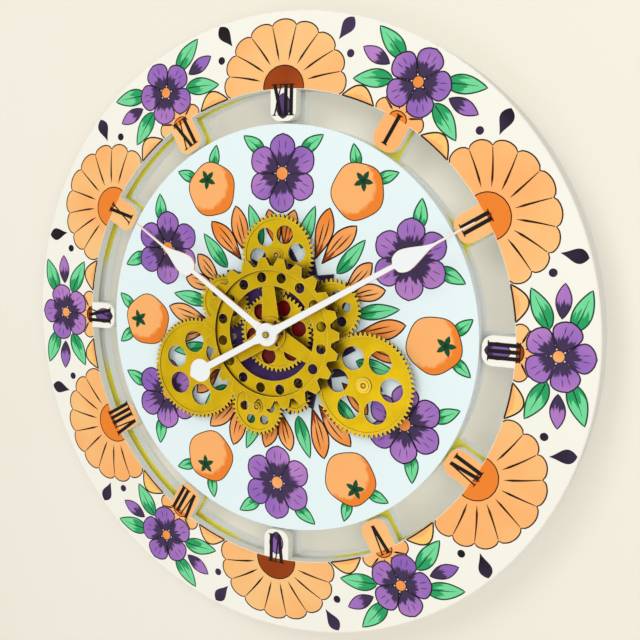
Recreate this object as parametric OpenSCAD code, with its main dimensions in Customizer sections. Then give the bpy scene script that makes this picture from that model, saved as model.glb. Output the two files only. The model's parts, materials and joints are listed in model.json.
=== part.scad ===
// Round wall clock with an open train of turning gears on its dial.
// Local frame of every module: x to the right, y up, z out of the dial towards the viewer,
// with the hand axis at x = y = 0 and the front face of the dial at z = 0.
// place() turns that frame to stand on the wall: +Z up, +Y into the wall,
// and the origin in the middle of the hanger hole, on the wall side of the hanger plate.

/* [Panels] */
// Overall diameter, outside the rim band
face_d = 600; // [580:5:640]
// Thickness of the front ring and of the dial disc
panel_t = 10; // [9:0.5:12]
// Gap between the front panels and the rear panel
panel_gap = 8.6; // [7:0.2:10]
// Thickness of the rear panel
rear_t = 10; // [9:0.5:11]
// Thickness of the pale band round the rim
band_t = 0.8; // [0.5:0.1:1.5]
// Diameter of the dial disc
disc_d = 394; // [380:2:404]
// Inner diameter of the front ring, at the windows
ring_inner_d = 458; // [440:2:470]
// Width of the hour tabs
tab_w = 27; // [22:1:32]
// Gap between the end of an hour tab and the dial disc
tab_gap = 2.5; // [1.5:0.5:5]
// Corner radius at the end of an hour tab
tab_corner = 10; // [5:0.5:10.5]
// Diameter of the spacers between the panels
spacer_d = 12; // [10:1:16]
// Diameter of the wood screws that hold the panels
panel_screw_d = 4; // [3:0.5:5]

/* [Gear train] */
// Module of the fine gears
gear_m = 1.5; // [1.45:0.01:1.55]
// Tooth height above the pitch circle, in modules
addendum = 0.9; // [0.8:0.05:1]
// Play between two meshing teeth, along the pitch circle
backlash = 0.4; // [0.3:0.05:0.5]
// Thickness of the fine gears
gear_t = 3; // [2.5:0.1:3.5]
// Depth of the recess in the face of a fine gear
web_recess = 0.5; // [0.3:0.1:0.8]
// Width of the raised rim of a fine gear, below the tooth roots
rim_w = 2; // [1.5:0.5:3]
// Diameter of the axle that a fine gear turns on
axle_d = 5; // [4:0.2:6]
// Diameter of the collar under a fine gear
collar_d = 8; // [7.5:0.5:9]
// Thickness of the toothed base plate
plate_t = 2.4; // [2:0.2:3]
// Tip diameter of the base plate
plate_tip_d = 163; // [152:1:166]
// Diameter across the notches between its teeth
plate_root_d = 138; // [134:1:142]
// Thickness of the teeth of the red drive gear
red_t = 1.6; // [1.2:0.1:2]

/* [Ring gear] */
// Tip diameter of the big ring gear
ring_tip_d = 145; // [142:1:148]
// Root diameter of the big ring gear
ring_root_d = 129; // [126:1:131]
// Inner diameter of its toothed rim, at the step
ring_step_d = 121; // [119:1:123]
// Inner diameter of its ring
ring_open_d = 91; // [86:1:94]
// Height of its toothed rim
ring_t = 5.2; // [4.8:0.1:5.6]
// Depth of the step inside its toothed rim
ring_step = 2.7; // [2:0.1:3]
// Number of round holes in its ring
ring_holes = 16; // [12:1:18]
// Diameter of those holes
ring_hole_d = 10; // [7:0.5:11]
// Height of the gap between the fine gears and the ring gear
ring_rise = 7.4; // [6.5:0.1:9]

/* [Hands] */
// Length of the minute hand from its axis to its tip
minute_l = 225; // [200:1:240]
// Length of the hour hand from its axis to its tip
hour_l = 182; // [160:1:195]
// Distance from the axis to the middle of the minute hand's tail
tail_l = 84; // [70:1:95]
// Diameter of the hubs of the hands
hand_hub_d = 22; // [18:1:26]
// Width of the arm of a hand, at its hub
hand_arm_w = 7; // [5.5:0.5:8]
// Width of the arm of a hand, at its leaf
hand_neck_w = 4.4; // [3:0.2:5.4]
// Width of the leaf of a hand
hand_leaf_w = 20; // [14:1:22]
// Thickness of a hand
hand_t = 1.5; // [1:0.1:1.8]
// Rest angle of the minute hand, clockwise from twelve
minute_angle = 60.6; // [0:0.2:359.8]
// Rest angle of the hour hand, clockwise from twelve
hour_angle = 303.4; // [0:0.2:359.8]

/* [Movement] */
// Side of the square clock movement
movement_w = 56; // [54:1:58]
// Depth of the movement and of the motor case behind the dial
case_t = 16.4; // [15.8:0.2:17]
// Diameter of the threaded bush
bush_d = 8; // [7.4:0.2:8.6]
// Diameter of the hour tube
hour_tube_d = 5; // [4.4:0.1:5.4]
// Diameter of the minute shaft
minute_shaft_d = 3; // [2.6:0.1:3.2]
// Length of the motor case
motor_l = 54; // [50:1:58]
// Height of the motor case
motor_h = 40; // [36:1:46]
// Diameter of the motor's output shaft
motor_shaft_d = 3; // [2.4:0.2:3.6]
// Travel of the motor switch
switch_travel = 4; // [2:0.5:5]
// Diameter of a battery cell
cell_d = 14.4; // [13.8:0.1:14.4]
// Length of a battery cell
cell_l = 50.4; // [48:0.2:50.4]

/* [Hanging] */
// Distance from the rim to the middle of the hanger hole
hang_inset = 36; // [30:1:45]
// Diameter of the hanger hole
hang_hole_d = 9; // [6:0.5:10]
// Thickness of the hanger plate
hanger_t = 1.6; // [1:0.2:2.4]
// Height of the rubber wall bumpers
bumper_h = 6; // [4:0.5:10]

/* [Hidden] */
$fn = 96;

// Clearances: running fit, axial play, sliding fit, and the reach by which a cut passes a face
fit = 0.05;
play = 0.15;
slide = 0.3;
cut = 1;

// Panel levels and radii
gap_z = -panel_t;
rear_front_z = gap_z - panel_gap;
rear_z = rear_front_z - rear_t;
hanger_z = rear_z - hanger_t;
hang_y = face_d / 2 - hang_inset;
panel_r = face_d / 2 - band_t - fit;
disc_r = disc_d / 2;
ring_inner_r = ring_inner_d / 2;
tab_count = 12;
tab_root_l = 6;
bridge_lap = 10;

// Spacers stand in the middle of the ring, between the hour tabs, and near the edge of the disc
ring_spacer_r = (ring_inner_r + panel_r) / 2;
disc_spacer_in = 22;
disc_spacer_r = disc_r - disc_spacer_in;
ring_spacers_n = 12;
disc_spacers_n = 6;
spacer_phase = 15;
screw_grip = 6;
screw_head_h = 2.5;
small_head_h = 1.5;
pan_head_h = 1.6;

// Tooth counts of the fine gears
centre_n = 49;
top_n = 50;
right_n = 37;
lower_right_n = 64;
left_n = 35;
lower_left_n = 66;
bottom_n = 36;
bottom_pinion_n = 21;
motor_n = 18;

// Direction in which each gear meshes with the one before it, anticlockwise from +x
top_dir = 90;
right_dir = 23.7;
lower_right_dir = -63.5;
left_dir = 156.1;
lower_left_dir = 245.5;
bottom_dir = -24.4;
bottom_pinion_dir = 19.9;
motor_dir = 0;

function mesh_at(from, n1, n2, dir) = from + gear_m * (n1 + n2) / 2 * [cos(dir), sin(dir)];

centre_at = [0, 0];
top_at = mesh_at(centre_at, centre_n, top_n, top_dir);
right_at = mesh_at(centre_at, centre_n, right_n, right_dir);
lower_right_at = mesh_at(right_at, right_n, lower_right_n, lower_right_dir);
left_at = mesh_at(centre_at, centre_n, left_n, left_dir);
lower_left_at = mesh_at(left_at, left_n, lower_left_n, lower_left_dir);
bottom_at = mesh_at(lower_left_at, lower_left_n, bottom_n, bottom_dir);
bottom_pinion_at = mesh_at(bottom_at, bottom_n, bottom_pinion_n, bottom_pinion_dir);
motor_at = mesh_at(centre_at, centre_n, motor_n, motor_dir);

// Angle of one tooth of each gear, so that a tooth of one stands in a gap of the next
function mesh_phase(phase1, n1, n2, dir) = dir + 180 + 180 / n2 - n1 / n2 * (phase1 - dir);

centre_phase = 0;
top_phase = mesh_phase(centre_phase, centre_n, top_n, top_dir);
right_phase = mesh_phase(centre_phase, centre_n, right_n, right_dir);
lower_right_phase = mesh_phase(right_phase, right_n, lower_right_n, lower_right_dir);
left_phase = mesh_phase(centre_phase, centre_n, left_n, left_dir);
lower_left_phase = mesh_phase(left_phase, left_n, lower_left_n, lower_left_dir);
bottom_phase = mesh_phase(lower_left_phase, lower_left_n, bottom_n, bottom_dir);
bottom_pinion_phase = mesh_phase(bottom_phase, bottom_n, bottom_pinion_n, bottom_pinion_dir);
motor_phase = mesh_phase(centre_phase, centre_n, motor_n, motor_dir);

// Round holes of each gear: count, diameter, radius of their circle, angle of the first
centre_holes = [6, 15.6, 24.9, 72];
top_holes = [6, 17.8, 20.9, 8];
right_holes = [6, 9.6, 14.3, 13];
lower_right_holes = [6, 22.4, 27.1, 56];
left_holes = [6, 9, 13.5, 17.7];
lower_left_holes = [6, 22, 27, 39];
bottom_holes = [6, 9.6, 14.7, 1.4];
boss_wall = 3.5;
boss_r = axle_d / 2 + boss_wall;

// Posts that stand on the base plate, and posts that stand on the dial beside it
plate_posts = [right_at, left_at, bottom_pinion_at];
dial_posts = [top_at, bottom_at, lower_right_at, lower_left_at];
all_posts = concat(plate_posts, dial_posts);
post_shoulder = 0.5;
post_shank_d = axle_d - 2 * post_shoulder;
post_nut_d = 8;
post_nut_t = 2.6;
post_end_l = 0.8;
post_pin_h = 1.1;
cap_wall = 1.2;
cap_h = 1.6;
cap_sink = 0.5;
wide_cap_r = 5.2;
cap_flange_r = 7.4;
cap_flange_h = 0.8;

// Levels of the gear layers in front of the dial
layer_gap = 0.5;
red_z = plate_t + layer_gap;
gear_z = red_z + red_t + layer_gap;
gear_top_z = gear_z + gear_t;
ring_z = gear_top_z + ring_rise;
flat_t = ring_t - ring_step;
spoke_drop = 0.6;
hub_rise = 0.5;
hub_t = flat_t + hub_rise;
hub_top_z = ring_z + hub_t;
plate_teeth = 20;
plate_tooth_phase = 45.9;
plate_screw_d = 3;
plate_screw_in = 18;
plate_screw_phase = 70;
tooth_lap = 2;
ring_teeth = 23;
ring_tooth_root = 0.47;
ring_tooth_tip = 0.16;
spoke_hub_w = 18;
spoke_rim_w = 12;
spokes_n = 3;
ring_hole_r = 54;
ring_tooth_phase = 81.3;
ring_spoke_phase = 94.8;
ring_hole_phase = 79;

// Centre stack: bush, fixed sleeve, turning hub
bush_r = bush_d / 2;
sleeve_wall = 2;
sleeve_r = bush_r + sleeve_wall;
hub_bore_r = sleeve_r + fit;
hub_neck_wall = 3;
hub_neck_r = hub_bore_r + hub_neck_wall;
hub_r = 16;
hub_screw_r = 12.3;
hub_screw_d = 3.6;
hub_screw_n = 6;
hub_screw_sink = 2;
washer_t = 0.8;
washer_r = 10;
bush_nut_t = 2.6;
bush_nut_d = 15;
sleeve_top_z = hub_top_z + play;
washer_top_z = sleeve_top_z + washer_t;
bush_end_l = 0.4;
bush_top_z = washer_top_z + bush_nut_t + bush_end_l;

// Hands
hand_gap = 0.8;
hour_z = bush_top_z + hand_gap;
minute_z = hour_z + hand_t + hand_gap;
hand_nut_z = minute_z + hand_t;
hand_nut_t = 2;
hand_nut_r = 3.1;
minute_shoulder = 0.4;
minute_thread_d = minute_shaft_d - 2 * minute_shoulder;
minute_end_l = 0.4;
minute_top_z = hand_nut_z + hand_nut_t - minute_end_l;
hour_top_z = hour_z + hand_t;
needle_w = 2.2;
needle_end_w = 1.2;
needle_l = 37.5;
leaf_l = 44;
leaf_share = 0.26;
leaf_full = 1.5;
leaf_steps = 22;
arm_flare = 13;
arm_flare_l = 17;
tail_arm_w = 5.8;
tail_r = 11.4;
tail_point_l = 13.8;
tail_inset = 0.1;

// Movement, behind the dial disc
gasket_t = 0.5;
gasket_r = 13;
case_front_z = gap_z - gasket_t;
case_z = case_front_z - case_t;
case_corner = 4;
bush_flange_w = 3;
bush_flange_r = bush_r + bush_flange_w;
bush_flange_t = 2;
wheel_room_h = 6;
wheel_room_z = case_front_z - wheel_room_h;
bay_wall = 1.5;
bay_slack = 0.3;
contact_t = 0.5;
contact_w = 10;
contact_h = 11.5;
cell_nub_d = 5.4;
cell_nub_l = 1.2;
knob_r = 6;
knob_t = 3;
knob_grooves = 12;
knob_groove_d = 2.4;
knob_groove_out = 0.6;
knob_z = case_z - play - knob_t;
bay_l = cell_l + 2 * contact_t + 2 * bay_slack;
bay_w = cell_d + 2 * bay_slack;
clock_bay_y = -movement_w / 2 + bay_wall + bay_w / 2;
clock_cell_z = case_z + bay_slack + cell_d / 2;

// Motor case, on the back of the dial disc beside the movement
motor_gap = 3;
motor_x = movement_w / 2 + motor_gap;
motor_z = gap_z - case_t;
cover_t = 1.5;
motor_screw_d = 2.5;
motor_screw_inset = 4.5;
motor_shaft_in = 8;
motor_shaft_z = gap_z - motor_shaft_in;
switch_l = 7;
switch_w = 4;
switch_base_h = 2.4;
switch_lip = 1;
switch_h = 2.2;
switch_in = 16;
switch_x = motor_x + motor_l - switch_in;
switch_pocket_h = switch_base_h + 2 * play;

// Battery holder for the motor, on the back of the dial disc below the gears
holder_x = motor_x;
holder_y = -132;
holder_floor = 2;
holder_l = bay_l + 2 * bay_wall;
holder_w = 2 * bay_w + 3 * bay_wall;
holder_z = gap_z - holder_floor - bay_w;
gear_cell_z = gap_z - holder_floor - bay_slack - cell_d / 2;
holder_screw_d = 3;
lead_d = 1.4;
lead_gap = 6;
lead_drop = 3;
lead_in = 8;
lead_x = motor_x + lead_in;
lead_z = gap_z - lead_drop;

// Openings in the rear panel round what stands behind the dial disc
opening_gap = 1.5;

// Hanger and bumpers
hanger_l = 64;
hanger_w = 22;
hanger_corner = 6;
hanger_screw_at = 23;
hanger_screw_d = 3;
hanger_pocket_w = 4;
hanger_pocket_r = hang_hole_d / 2 + hanger_pocket_w;
hanger_pocket_h = 6;
bumper_r = 9;
bumper_taper = 1.5;
bumper_in = 30;
bumper_ring_r = panel_r - bumper_in;

GOLD = [0.83, 0.69, 0.08];
DARK_GOLD = [0.62, 0.50, 0.06];
WHITE = [0.95, 0.94, 0.90];
PALE_BLUE = [0.89, 0.94, 0.96];
PURPLE = [0.16, 0.11, 0.24];
STEEL = [0.72, 0.72, 0.70];
BLACK = [0.10, 0.10, 0.10];

// Stands the local frame on the wall
module place() {
    translate([0, hanger_z, -hang_y]) rotate([90, 0, 0]) children();
}

module at(point, z) {
    translate([point[0], point[1], z]) children();
}

// Copies round the axis at a radius
module around(n, r, phase = 0) {
    for (i = [0 : n - 1]) rotate(phase + i * 360 / n) translate([r, 0, 0]) children();
}

module tube(r_out, r_in, h) {
    difference() {
        cylinder(r = r_out, h = h);
        translate([0, 0, -cut]) cylinder(r = r_in, h = h + 2 * cut);
    }
}

module rounded_block(size, r) {
    linear_extrude(size[2]) {
        square([size[0] - 2 * r, size[1]], center = true);
        square([size[0], size[1] - 2 * r], center = true);
        for (sx = [-1, 1], sy = [-1, 1])
            translate([sx * (size[0] / 2 - r), sy * (size[1] / 2 - r)]) circle(r);
    }
}

// Screw with a countersunk head whose flat top is at z = 0, pointing to +z
module sunk_screw(d, l, head_h) {
    cylinder(r1 = d, r2 = d / 2, h = head_h);
    cylinder(d = d, h = l);
}

// Hole for sunk_screw, wider by a clearance
module sunk_hole(d, l, head_h) {
    translate([0, 0, -fit]) cylinder(r1 = d + 2 * fit, r2 = d / 2 + fit, h = head_h + fit);
    cylinder(d = d + 2 * fit, h = l + fit);
}

// Screw with a round head whose underside is at z = 0, pointing to +z
module pan_screw(d, l) {
    translate([0, 0, -pan_head_h]) cylinder(r = d, h = pan_head_h);
    cylinder(d = d, h = l);
}

// Gear teeth with involute flanks
pressure_angle = 20;
function involute(a) = tan(a) * 180 / PI - a;
function flank_angle(r, base_r) = acos(min(1, base_r / r));
function half_tooth(n, r) =
    let (pitch_r = gear_m * n / 2, base_r = pitch_r * cos(pressure_angle))
    (PI * gear_m / 2 - backlash / 2) / (2 * pitch_r) * 180 / PI
        + involute(pressure_angle) - involute(flank_angle(r, base_r));
function tip_r(n) = gear_m * (n / 2 + addendum);
function root_r(n) = gear_m * (n / 2 - addendum - 0.3);
function on_circle(r, a) = [r * cos(a), r * sin(a)];

module gear_outline(n, phase) {
    radii = [root_r(n), gear_m * (n / 2 - 0.4), gear_m * (n / 2 + 0.3), tip_r(n)];
    polygon([
        for (i = [0 : n - 1], side = [-1, 1], k = [0 : 3])
            let (r = radii[side < 0 ? k : 3 - k])
            on_circle(r, phase + i * 360 / n + side * half_tooth(n, r))
    ]);
}

module gear_holes(holes) {
    if (len(holes) > 0)
        around(holes[0], holes[2], holes[3]) translate([0, 0, -cut])
            cylinder(d = holes[1], h = gear_t + 2 * cut);
}

// Fine gear: toothed rim, recessed web with round holes, raised boss round its axle
module fine_gear(n, phase, holes) {
    web_r = root_r(n) - rim_w;
    difference() {
        linear_extrude(gear_t) gear_outline(n, phase);
        translate([0, 0, gear_t - web_recess]) tube(web_r, boss_r, web_recess + cut);
        translate([0, 0, -cut]) cylinder(d = axle_d + 2 * fit, h = gear_t + 2 * cut);
        gear_holes(holes);
    }
}

// Panels

module tab_2d(r_end, corner) {
    l = ring_inner_r + tab_root_l - r_end;
    translate([r_end, -tab_w / 2 + corner]) square([l, tab_w - 2 * corner]);
    translate([r_end + corner, -tab_w / 2]) square([l - corner, tab_w]);
    for (s = [-1, 1]) translate([r_end + corner, s * (tab_w / 2 - corner)]) circle(corner);
}

module front_ring() {
    color(WHITE) place() difference() {
        translate([0, 0, gap_z]) linear_extrude(panel_t) {
            difference() {
                circle(panel_r, $fn = 360);
                circle(ring_inner_r, $fn = 360);
            }
            around(tab_count, 0) tab_2d(disc_r + tab_gap, tab_corner);
        }
        around(ring_spacers_n, ring_spacer_r, spacer_phase) translate([0, 0, gap_z - cut])
            cylinder(d = panel_screw_d + 2 * fit, h = screw_grip + fit + cut);
    }
}

module dial_disc() {
    color(PALE_BLUE) place() difference() {
        translate([0, 0, gap_z]) cylinder(r = disc_r, h = panel_t, $fn = 360);
        around(disc_spacers_n, disc_spacer_r, spacer_phase) translate([0, 0, gap_z - cut])
            cylinder(d = panel_screw_d + 2 * fit, h = screw_grip + fit + cut);
        translate([0, 0, gap_z - cut]) {
            cylinder(r = bush_r + slide, h = panel_t + 2 * cut);
            at(motor_at, 0) cylinder(d = motor_shaft_d + 2 * slide, h = panel_t + 2 * cut);
            for (p = all_posts) at(p, 0) cylinder(d = post_shank_d + 2 * fit, h = panel_t + 2 * cut);
        }
        plate_screw_places() translate([0, 0, -screw_grip - fit])
            cylinder(d = plate_screw_d + 2 * fit, h = screw_grip + fit + cut);
        motor_screw_places() translate([0, 0, gap_z - cut])
            cylinder(d = motor_screw_d + 2 * fit, h = screw_grip + fit + cut);
        bay_places() translate([0, 0, gap_z - cut])
            cylinder(d = holder_screw_d + 2 * fit, h = screw_grip + fit + cut);
    }
}

module windows_2d() {
    difference() {
        circle(ring_inner_r, $fn = 360);
        circle(disc_r, $fn = 360);
        around(tab_count, 0) translate([disc_r - bridge_lap, -tab_w / 2])
            square([ring_inner_r - disc_r + 2 * bridge_lap, tab_w]);
    }
}

module panel_screw_hole() {
    sunk_hole(panel_screw_d, rear_t + cut, screw_head_h);
}

module panel_screw() {
    sunk_screw(panel_screw_d, rear_t + panel_gap + screw_grip, screw_head_h);
}

module rear_panel() {
    h = rear_t + 2 * cut;
    color(WHITE) place() difference() {
        translate([0, 0, rear_z]) linear_extrude(rear_t) difference() {
            circle(panel_r, $fn = 360);
            windows_2d();
        }
        translate([0, 0, rear_z - cut]) {
            rounded_block([movement_w + 2 * opening_gap, movement_w + 2 * opening_gap, h], case_corner);
            translate([motor_x + motor_l / 2 - opening_gap, 0, 0])
                rounded_block([motor_l + 4 * opening_gap, motor_h + 2 * opening_gap, h], case_corner);
            translate([holder_x, holder_y, 0])
                rounded_block([holder_l + 2 * opening_gap, holder_w + 2 * opening_gap, h], case_corner);
        }
        around(ring_spacers_n, ring_spacer_r, spacer_phase) translate([0, 0, rear_z]) panel_screw_hole();
        around(disc_spacers_n, disc_spacer_r, spacer_phase) translate([0, 0, rear_z]) panel_screw_hole();
        translate([0, hang_y, rear_z - cut]) cylinder(r = hanger_pocket_r, h = hanger_pocket_h + cut);
        hanger_screw_places() translate([0, 0, rear_z - cut])
            cylinder(d = hanger_screw_d + 2 * fit, h = screw_grip + fit + cut);
    }
}

module rim_band() {
    color(WHITE) place() translate([0, 0, rear_z])
        tube(face_d / 2, face_d / 2 - band_t, -rear_z, $fn = 360);
}

module ring_spacers() {
    color(WHITE) place() around(ring_spacers_n, ring_spacer_r, spacer_phase) translate([0, 0, rear_front_z])
        tube(spacer_d / 2, panel_screw_d / 2 + fit, panel_gap);
}

module disc_spacers() {
    color(WHITE) place() around(disc_spacers_n, disc_spacer_r, spacer_phase) translate([0, 0, rear_front_z])
        tube(spacer_d / 2, panel_screw_d / 2 + fit, panel_gap);
}

module ring_screws() {
    color(STEEL) place() around(ring_spacers_n, ring_spacer_r, spacer_phase) translate([0, 0, rear_z])
        panel_screw();
}

module disc_screws() {
    color(STEEL) place() around(disc_spacers_n, disc_spacer_r, spacer_phase) translate([0, 0, rear_z])
        panel_screw();
}

// Base plate of the gear train

module plate_screw_places() {
    around(3, plate_root_d / 2 - plate_screw_in, plate_screw_phase) children();
}

// Plate with pointed teeth, cut away where a post stands on the dial beside it
module gear_base_plate() {
    pitch = 360 / plate_teeth;
    color(PURPLE) place() difference() {
        linear_extrude(plate_t) polygon([
            for (i = [0 : plate_teeth - 1], side = [0, 1])
                on_circle(
                    (side == 0 ? plate_tip_d : plate_root_d) / 2, plate_tooth_phase + (i + side / 2) * pitch
                )
        ]);
        translate([0, 0, -cut]) {
            cylinder(r = bush_r + slide, h = plate_t + 2 * cut);
            at(motor_at, 0) cylinder(d = motor_shaft_d + 2 * slide, h = plate_t + 2 * cut);
            for (p = plate_posts) at(p, 0) cylinder(d = post_shank_d + 2 * fit, h = plate_t + 2 * cut);
            for (p = dial_posts) at(p, 0) cylinder(d = collar_d + 2 * slide, h = plate_t + 2 * cut);
        }
        plate_screw_places() translate([0, 0, plate_t]) rotate([180, 0, 0])
            sunk_hole(plate_screw_d, plate_t + cut, small_head_h);
    }
}

module base_plate_screws() {
    color(STEEL) place() plate_screw_places() translate([0, 0, plate_t]) rotate([180, 0, 0])
        sunk_screw(plate_screw_d, plate_t + screw_grip, small_head_h);
}

// The wheel on the hand axis: red drive gear, centre gear, hub and ring gear turn together

module hub_screw_holes(h) {
    around(hub_screw_n, hub_screw_r, ring_spoke_phase + 30) cylinder(d = hub_screw_d + 2 * fit, h = h);
}

module centre_gear() {
    color(GOLD) place() translate([0, 0, gear_z]) difference() {
        linear_extrude(gear_t) gear_outline(centre_n, centre_phase);
        translate([0, 0, gear_t - web_recess]) tube(root_r(centre_n) - rim_w, hub_r, web_recess + cut);
        translate([0, 0, -cut]) {
            cylinder(r = hub_neck_r + fit, h = gear_t + 2 * cut);
            hub_screw_holes(gear_t + 2 * cut);
        }
        gear_holes(centre_holes);
    }
}

module red_drive_gear() {
    color([0.43, 0, 0.02]) place() translate([0, 0, red_z]) difference() {
        union() {
            linear_extrude(red_t) gear_outline(centre_n, centre_phase);
            cylinder(r = hub_r, h = red_t + layer_gap);
        }
        translate([0, 0, -cut]) {
            cylinder(r = hub_neck_r + fit, h = red_t + layer_gap + 2 * cut);
            hub_screw_holes(red_t + layer_gap + 2 * cut);
        }
    }
}

module wheel_hub() {
    color(DARK_GOLD) place() difference() {
        union() {
            translate([0, 0, red_z]) cylinder(r = hub_neck_r, h = gear_top_z - red_z);
            translate([0, 0, gear_top_z]) cylinder(r = hub_r, h = ring_rise);
        }
        translate([0, 0, red_z - cut]) cylinder(r = hub_bore_r, h = ring_z - red_z + 2 * cut);
        translate([0, 0, gear_top_z - cut]) hub_screw_holes(ring_rise + 2 * cut);
    }
}

module hub_screws() {
    color(STEEL) place() translate([0, 0, red_z]) around(hub_screw_n, hub_screw_r, ring_spoke_phase + 30)
        cylinder(d = hub_screw_d, h = hub_top_z - hub_screw_sink - red_z);
}

module ring_tooth_2d() {
    pitch = 360 / ring_teeth;
    polygon([
        on_circle(ring_root_d / 2 - tooth_lap, -pitch * ring_tooth_root),
        on_circle(ring_tip_d / 2, -pitch * ring_tooth_tip),
        on_circle(ring_tip_d / 2, pitch * ring_tooth_tip),
        on_circle(ring_root_d / 2 - tooth_lap, pitch * ring_tooth_root)
    ]);
}

module ring_spoke_2d() {
    inner = hub_r - tooth_lap;
    outer = ring_open_d / 2 + tooth_lap;
    polygon([
        [inner, -spoke_hub_w / 2], [outer, -spoke_rim_w / 2],
        [outer, spoke_rim_w / 2], [inner, spoke_hub_w / 2]
    ]);
}

// Big gear: high toothed rim, lower flat ring with round holes, spokes lower still, hub
module ring_gear() {
    color(GOLD) place() translate([0, 0, ring_z]) difference() {
        union() {
            linear_extrude(ring_t) difference() {
                union() {
                    circle(d = ring_root_d);
                    around(ring_teeth, 0, ring_tooth_phase) ring_tooth_2d();
                }
                circle(d = ring_step_d);
            }
            linear_extrude(flat_t) difference() {
                circle(d = ring_step_d + tooth_lap);
                circle(d = ring_open_d);
            }
            linear_extrude(flat_t - spoke_drop) around(spokes_n, 0, ring_spoke_phase) ring_spoke_2d();
            cylinder(r = hub_r, h = hub_t);
        }
        translate([0, 0, -cut]) {
            cylinder(r = hub_bore_r, h = ring_t + 2 * cut);
            hub_screw_holes(ring_t + 2 * cut);
            around(ring_holes, ring_hole_r, ring_hole_phase)
                cylinder(d = ring_hole_d, h = ring_t + 2 * cut);
        }
    }
}

module centre_sleeve() {
    color(STEEL) place() translate([0, 0, plate_t]) tube(sleeve_r, bush_r + fit, sleeve_top_z - plate_t);
}

module sleeve_washer() {
    color(STEEL) place() translate([0, 0, sleeve_top_z]) tube(washer_r, bush_r + fit, washer_t);
}

module bush_nut() {
    color(GOLD) place() translate([0, 0, washer_top_z]) difference() {
        cylinder(d = bush_nut_d, h = bush_nut_t, $fn = 6);
        translate([0, 0, -cut]) cylinder(r = bush_r + fit, h = bush_nut_t + 2 * cut);
    }
}

// Posts, nuts and caps of the satellite gears

module post(foot_z) {
    end_z = gap_z - post_nut_t - post_end_l;
    translate([0, 0, end_z]) cylinder(d = post_shank_d, h = foot_z - end_z);
    translate([0, 0, foot_z]) cylinder(d = collar_d, h = gear_z - play - foot_z);
    translate([0, 0, gear_z - play]) cylinder(d = axle_d, h = gear_t + 2 * play);
    translate([0, 0, gear_top_z + play]) cylinder(d = axle_d / 2, h = post_pin_h);
}

module gear_posts() {
    color(DARK_GOLD) place() {
        for (p = plate_posts) at(p, 0) post(plate_t);
        for (p = dial_posts) at(p, 0) post(0);
    }
}

module post_nuts() {
    color(STEEL) place() for (p = all_posts) at(p, gap_z - post_nut_t) difference() {
        cylinder(d = post_nut_d, h = post_nut_t, $fn = 6);
        translate([0, 0, -cut]) cylinder(d = post_shank_d + 2 * fit, h = post_nut_t + 2 * cut);
    }
}

// Round cap with a countersunk bore; the wide one has a flange
module axle_cap(wide) {
    bore_r = axle_d / 4 + fit;
    difference() {
        union() {
            cylinder(r = wide ? wide_cap_r : axle_d / 2 + cap_wall, h = cap_h);
            if (wide) cylinder(r = cap_flange_r, h = cap_flange_h);
        }
        translate([0, 0, -cut]) cylinder(r = bore_r, h = cap_h + 2 * cut);
        translate([0, 0, cap_h - cap_sink])
            cylinder(r1 = bore_r, r2 = bore_r + 2 * cap_sink, h = 2 * cap_sink);
    }
}

module axle_caps() {
    color(GOLD) place() for (p = all_posts) at(p, gear_top_z + play) axle_cap(p == lower_right_at);
}

// Satellite gears

module top_gear() {
    color(GOLD) place() at(top_at, gear_z) fine_gear(top_n, top_phase, top_holes);
}

module right_gear() {
    color(GOLD) place() at(right_at, gear_z) fine_gear(right_n, right_phase, right_holes);
}

module lower_right_gear() {
    color(GOLD) place() at(lower_right_at, gear_z)
        fine_gear(lower_right_n, lower_right_phase, lower_right_holes);
}

module left_gear() {
    color(GOLD) place() at(left_at, gear_z) fine_gear(left_n, left_phase, left_holes);
}

module lower_left_gear() {
    color(GOLD) place() at(lower_left_at, gear_z)
        fine_gear(lower_left_n, lower_left_phase, lower_left_holes);
}

module bottom_gear() {
    color(GOLD) place() at(bottom_at, gear_z) fine_gear(bottom_n, bottom_phase, bottom_holes);
}

module bottom_pinion() {
    color(GOLD) place() at(bottom_pinion_at, gear_z) fine_gear(bottom_pinion_n, bottom_pinion_phase, []);
}

// Hands

// Outline of the leaf: a round shoulder, then a long fall to the needle
function leaf_shoulder(s) = sqrt(1 - pow(1 - s, 2));
function leaf_fall(s) = pow(1 - s, 2) * (1 + leaf_full * s);
function leaf_rise(t) =
    t < leaf_share ? leaf_shoulder(t / leaf_share) : leaf_fall((t - leaf_share) / (1 - leaf_share));
function leaf_half(t) =
    let (base = hand_neck_w / 2 * (1 - t) + needle_w / 2 * t)
    base + (hand_leaf_w / 2 - base) * leaf_rise(t);

// Arm that changes evenly from one width to the other, with a short flare at the hub
module arm_2d(l, hub_w, end_w) {
    polygon([[0, -hub_w / 2], [l, -end_w / 2], [l, end_w / 2], [0, hub_w / 2]]);
    polygon([
        [0, -arm_flare / 2], [arm_flare_l, -hub_w / 2],
        [arm_flare_l, hub_w / 2], [0, arm_flare / 2]
    ]);
}

module hand_2d(l) {
    leaf_at = l - needle_l - leaf_l;
    circle(d = hand_hub_d);
    arm_2d(leaf_at + tooth_lap, hand_arm_w, hand_neck_w);
    polygon(concat(
        [for (i = [0 : leaf_steps]) [leaf_at + leaf_l * i / leaf_steps, -leaf_half(i / leaf_steps)]],
        [[l, -needle_end_w / 2], [l, needle_end_w / 2]],
        [for (i = [leaf_steps : -1 : 0]) [leaf_at + leaf_l * i / leaf_steps, leaf_half(i / leaf_steps)]]
    ));
}

// Tail with a round end that runs out to a blunt point
module tail_2d() {
    side_a = acos(tail_r / tail_point_l);
    arm_2d(tail_l, tail_arm_w, hand_arm_w);
    translate([tail_l, 0]) {
        circle(tail_r);
        base_r = tail_r - tail_inset;
        polygon([[0, 0], on_circle(base_r, -side_a), [tail_point_l, 0], on_circle(base_r, side_a)]);
    }
}

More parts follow.
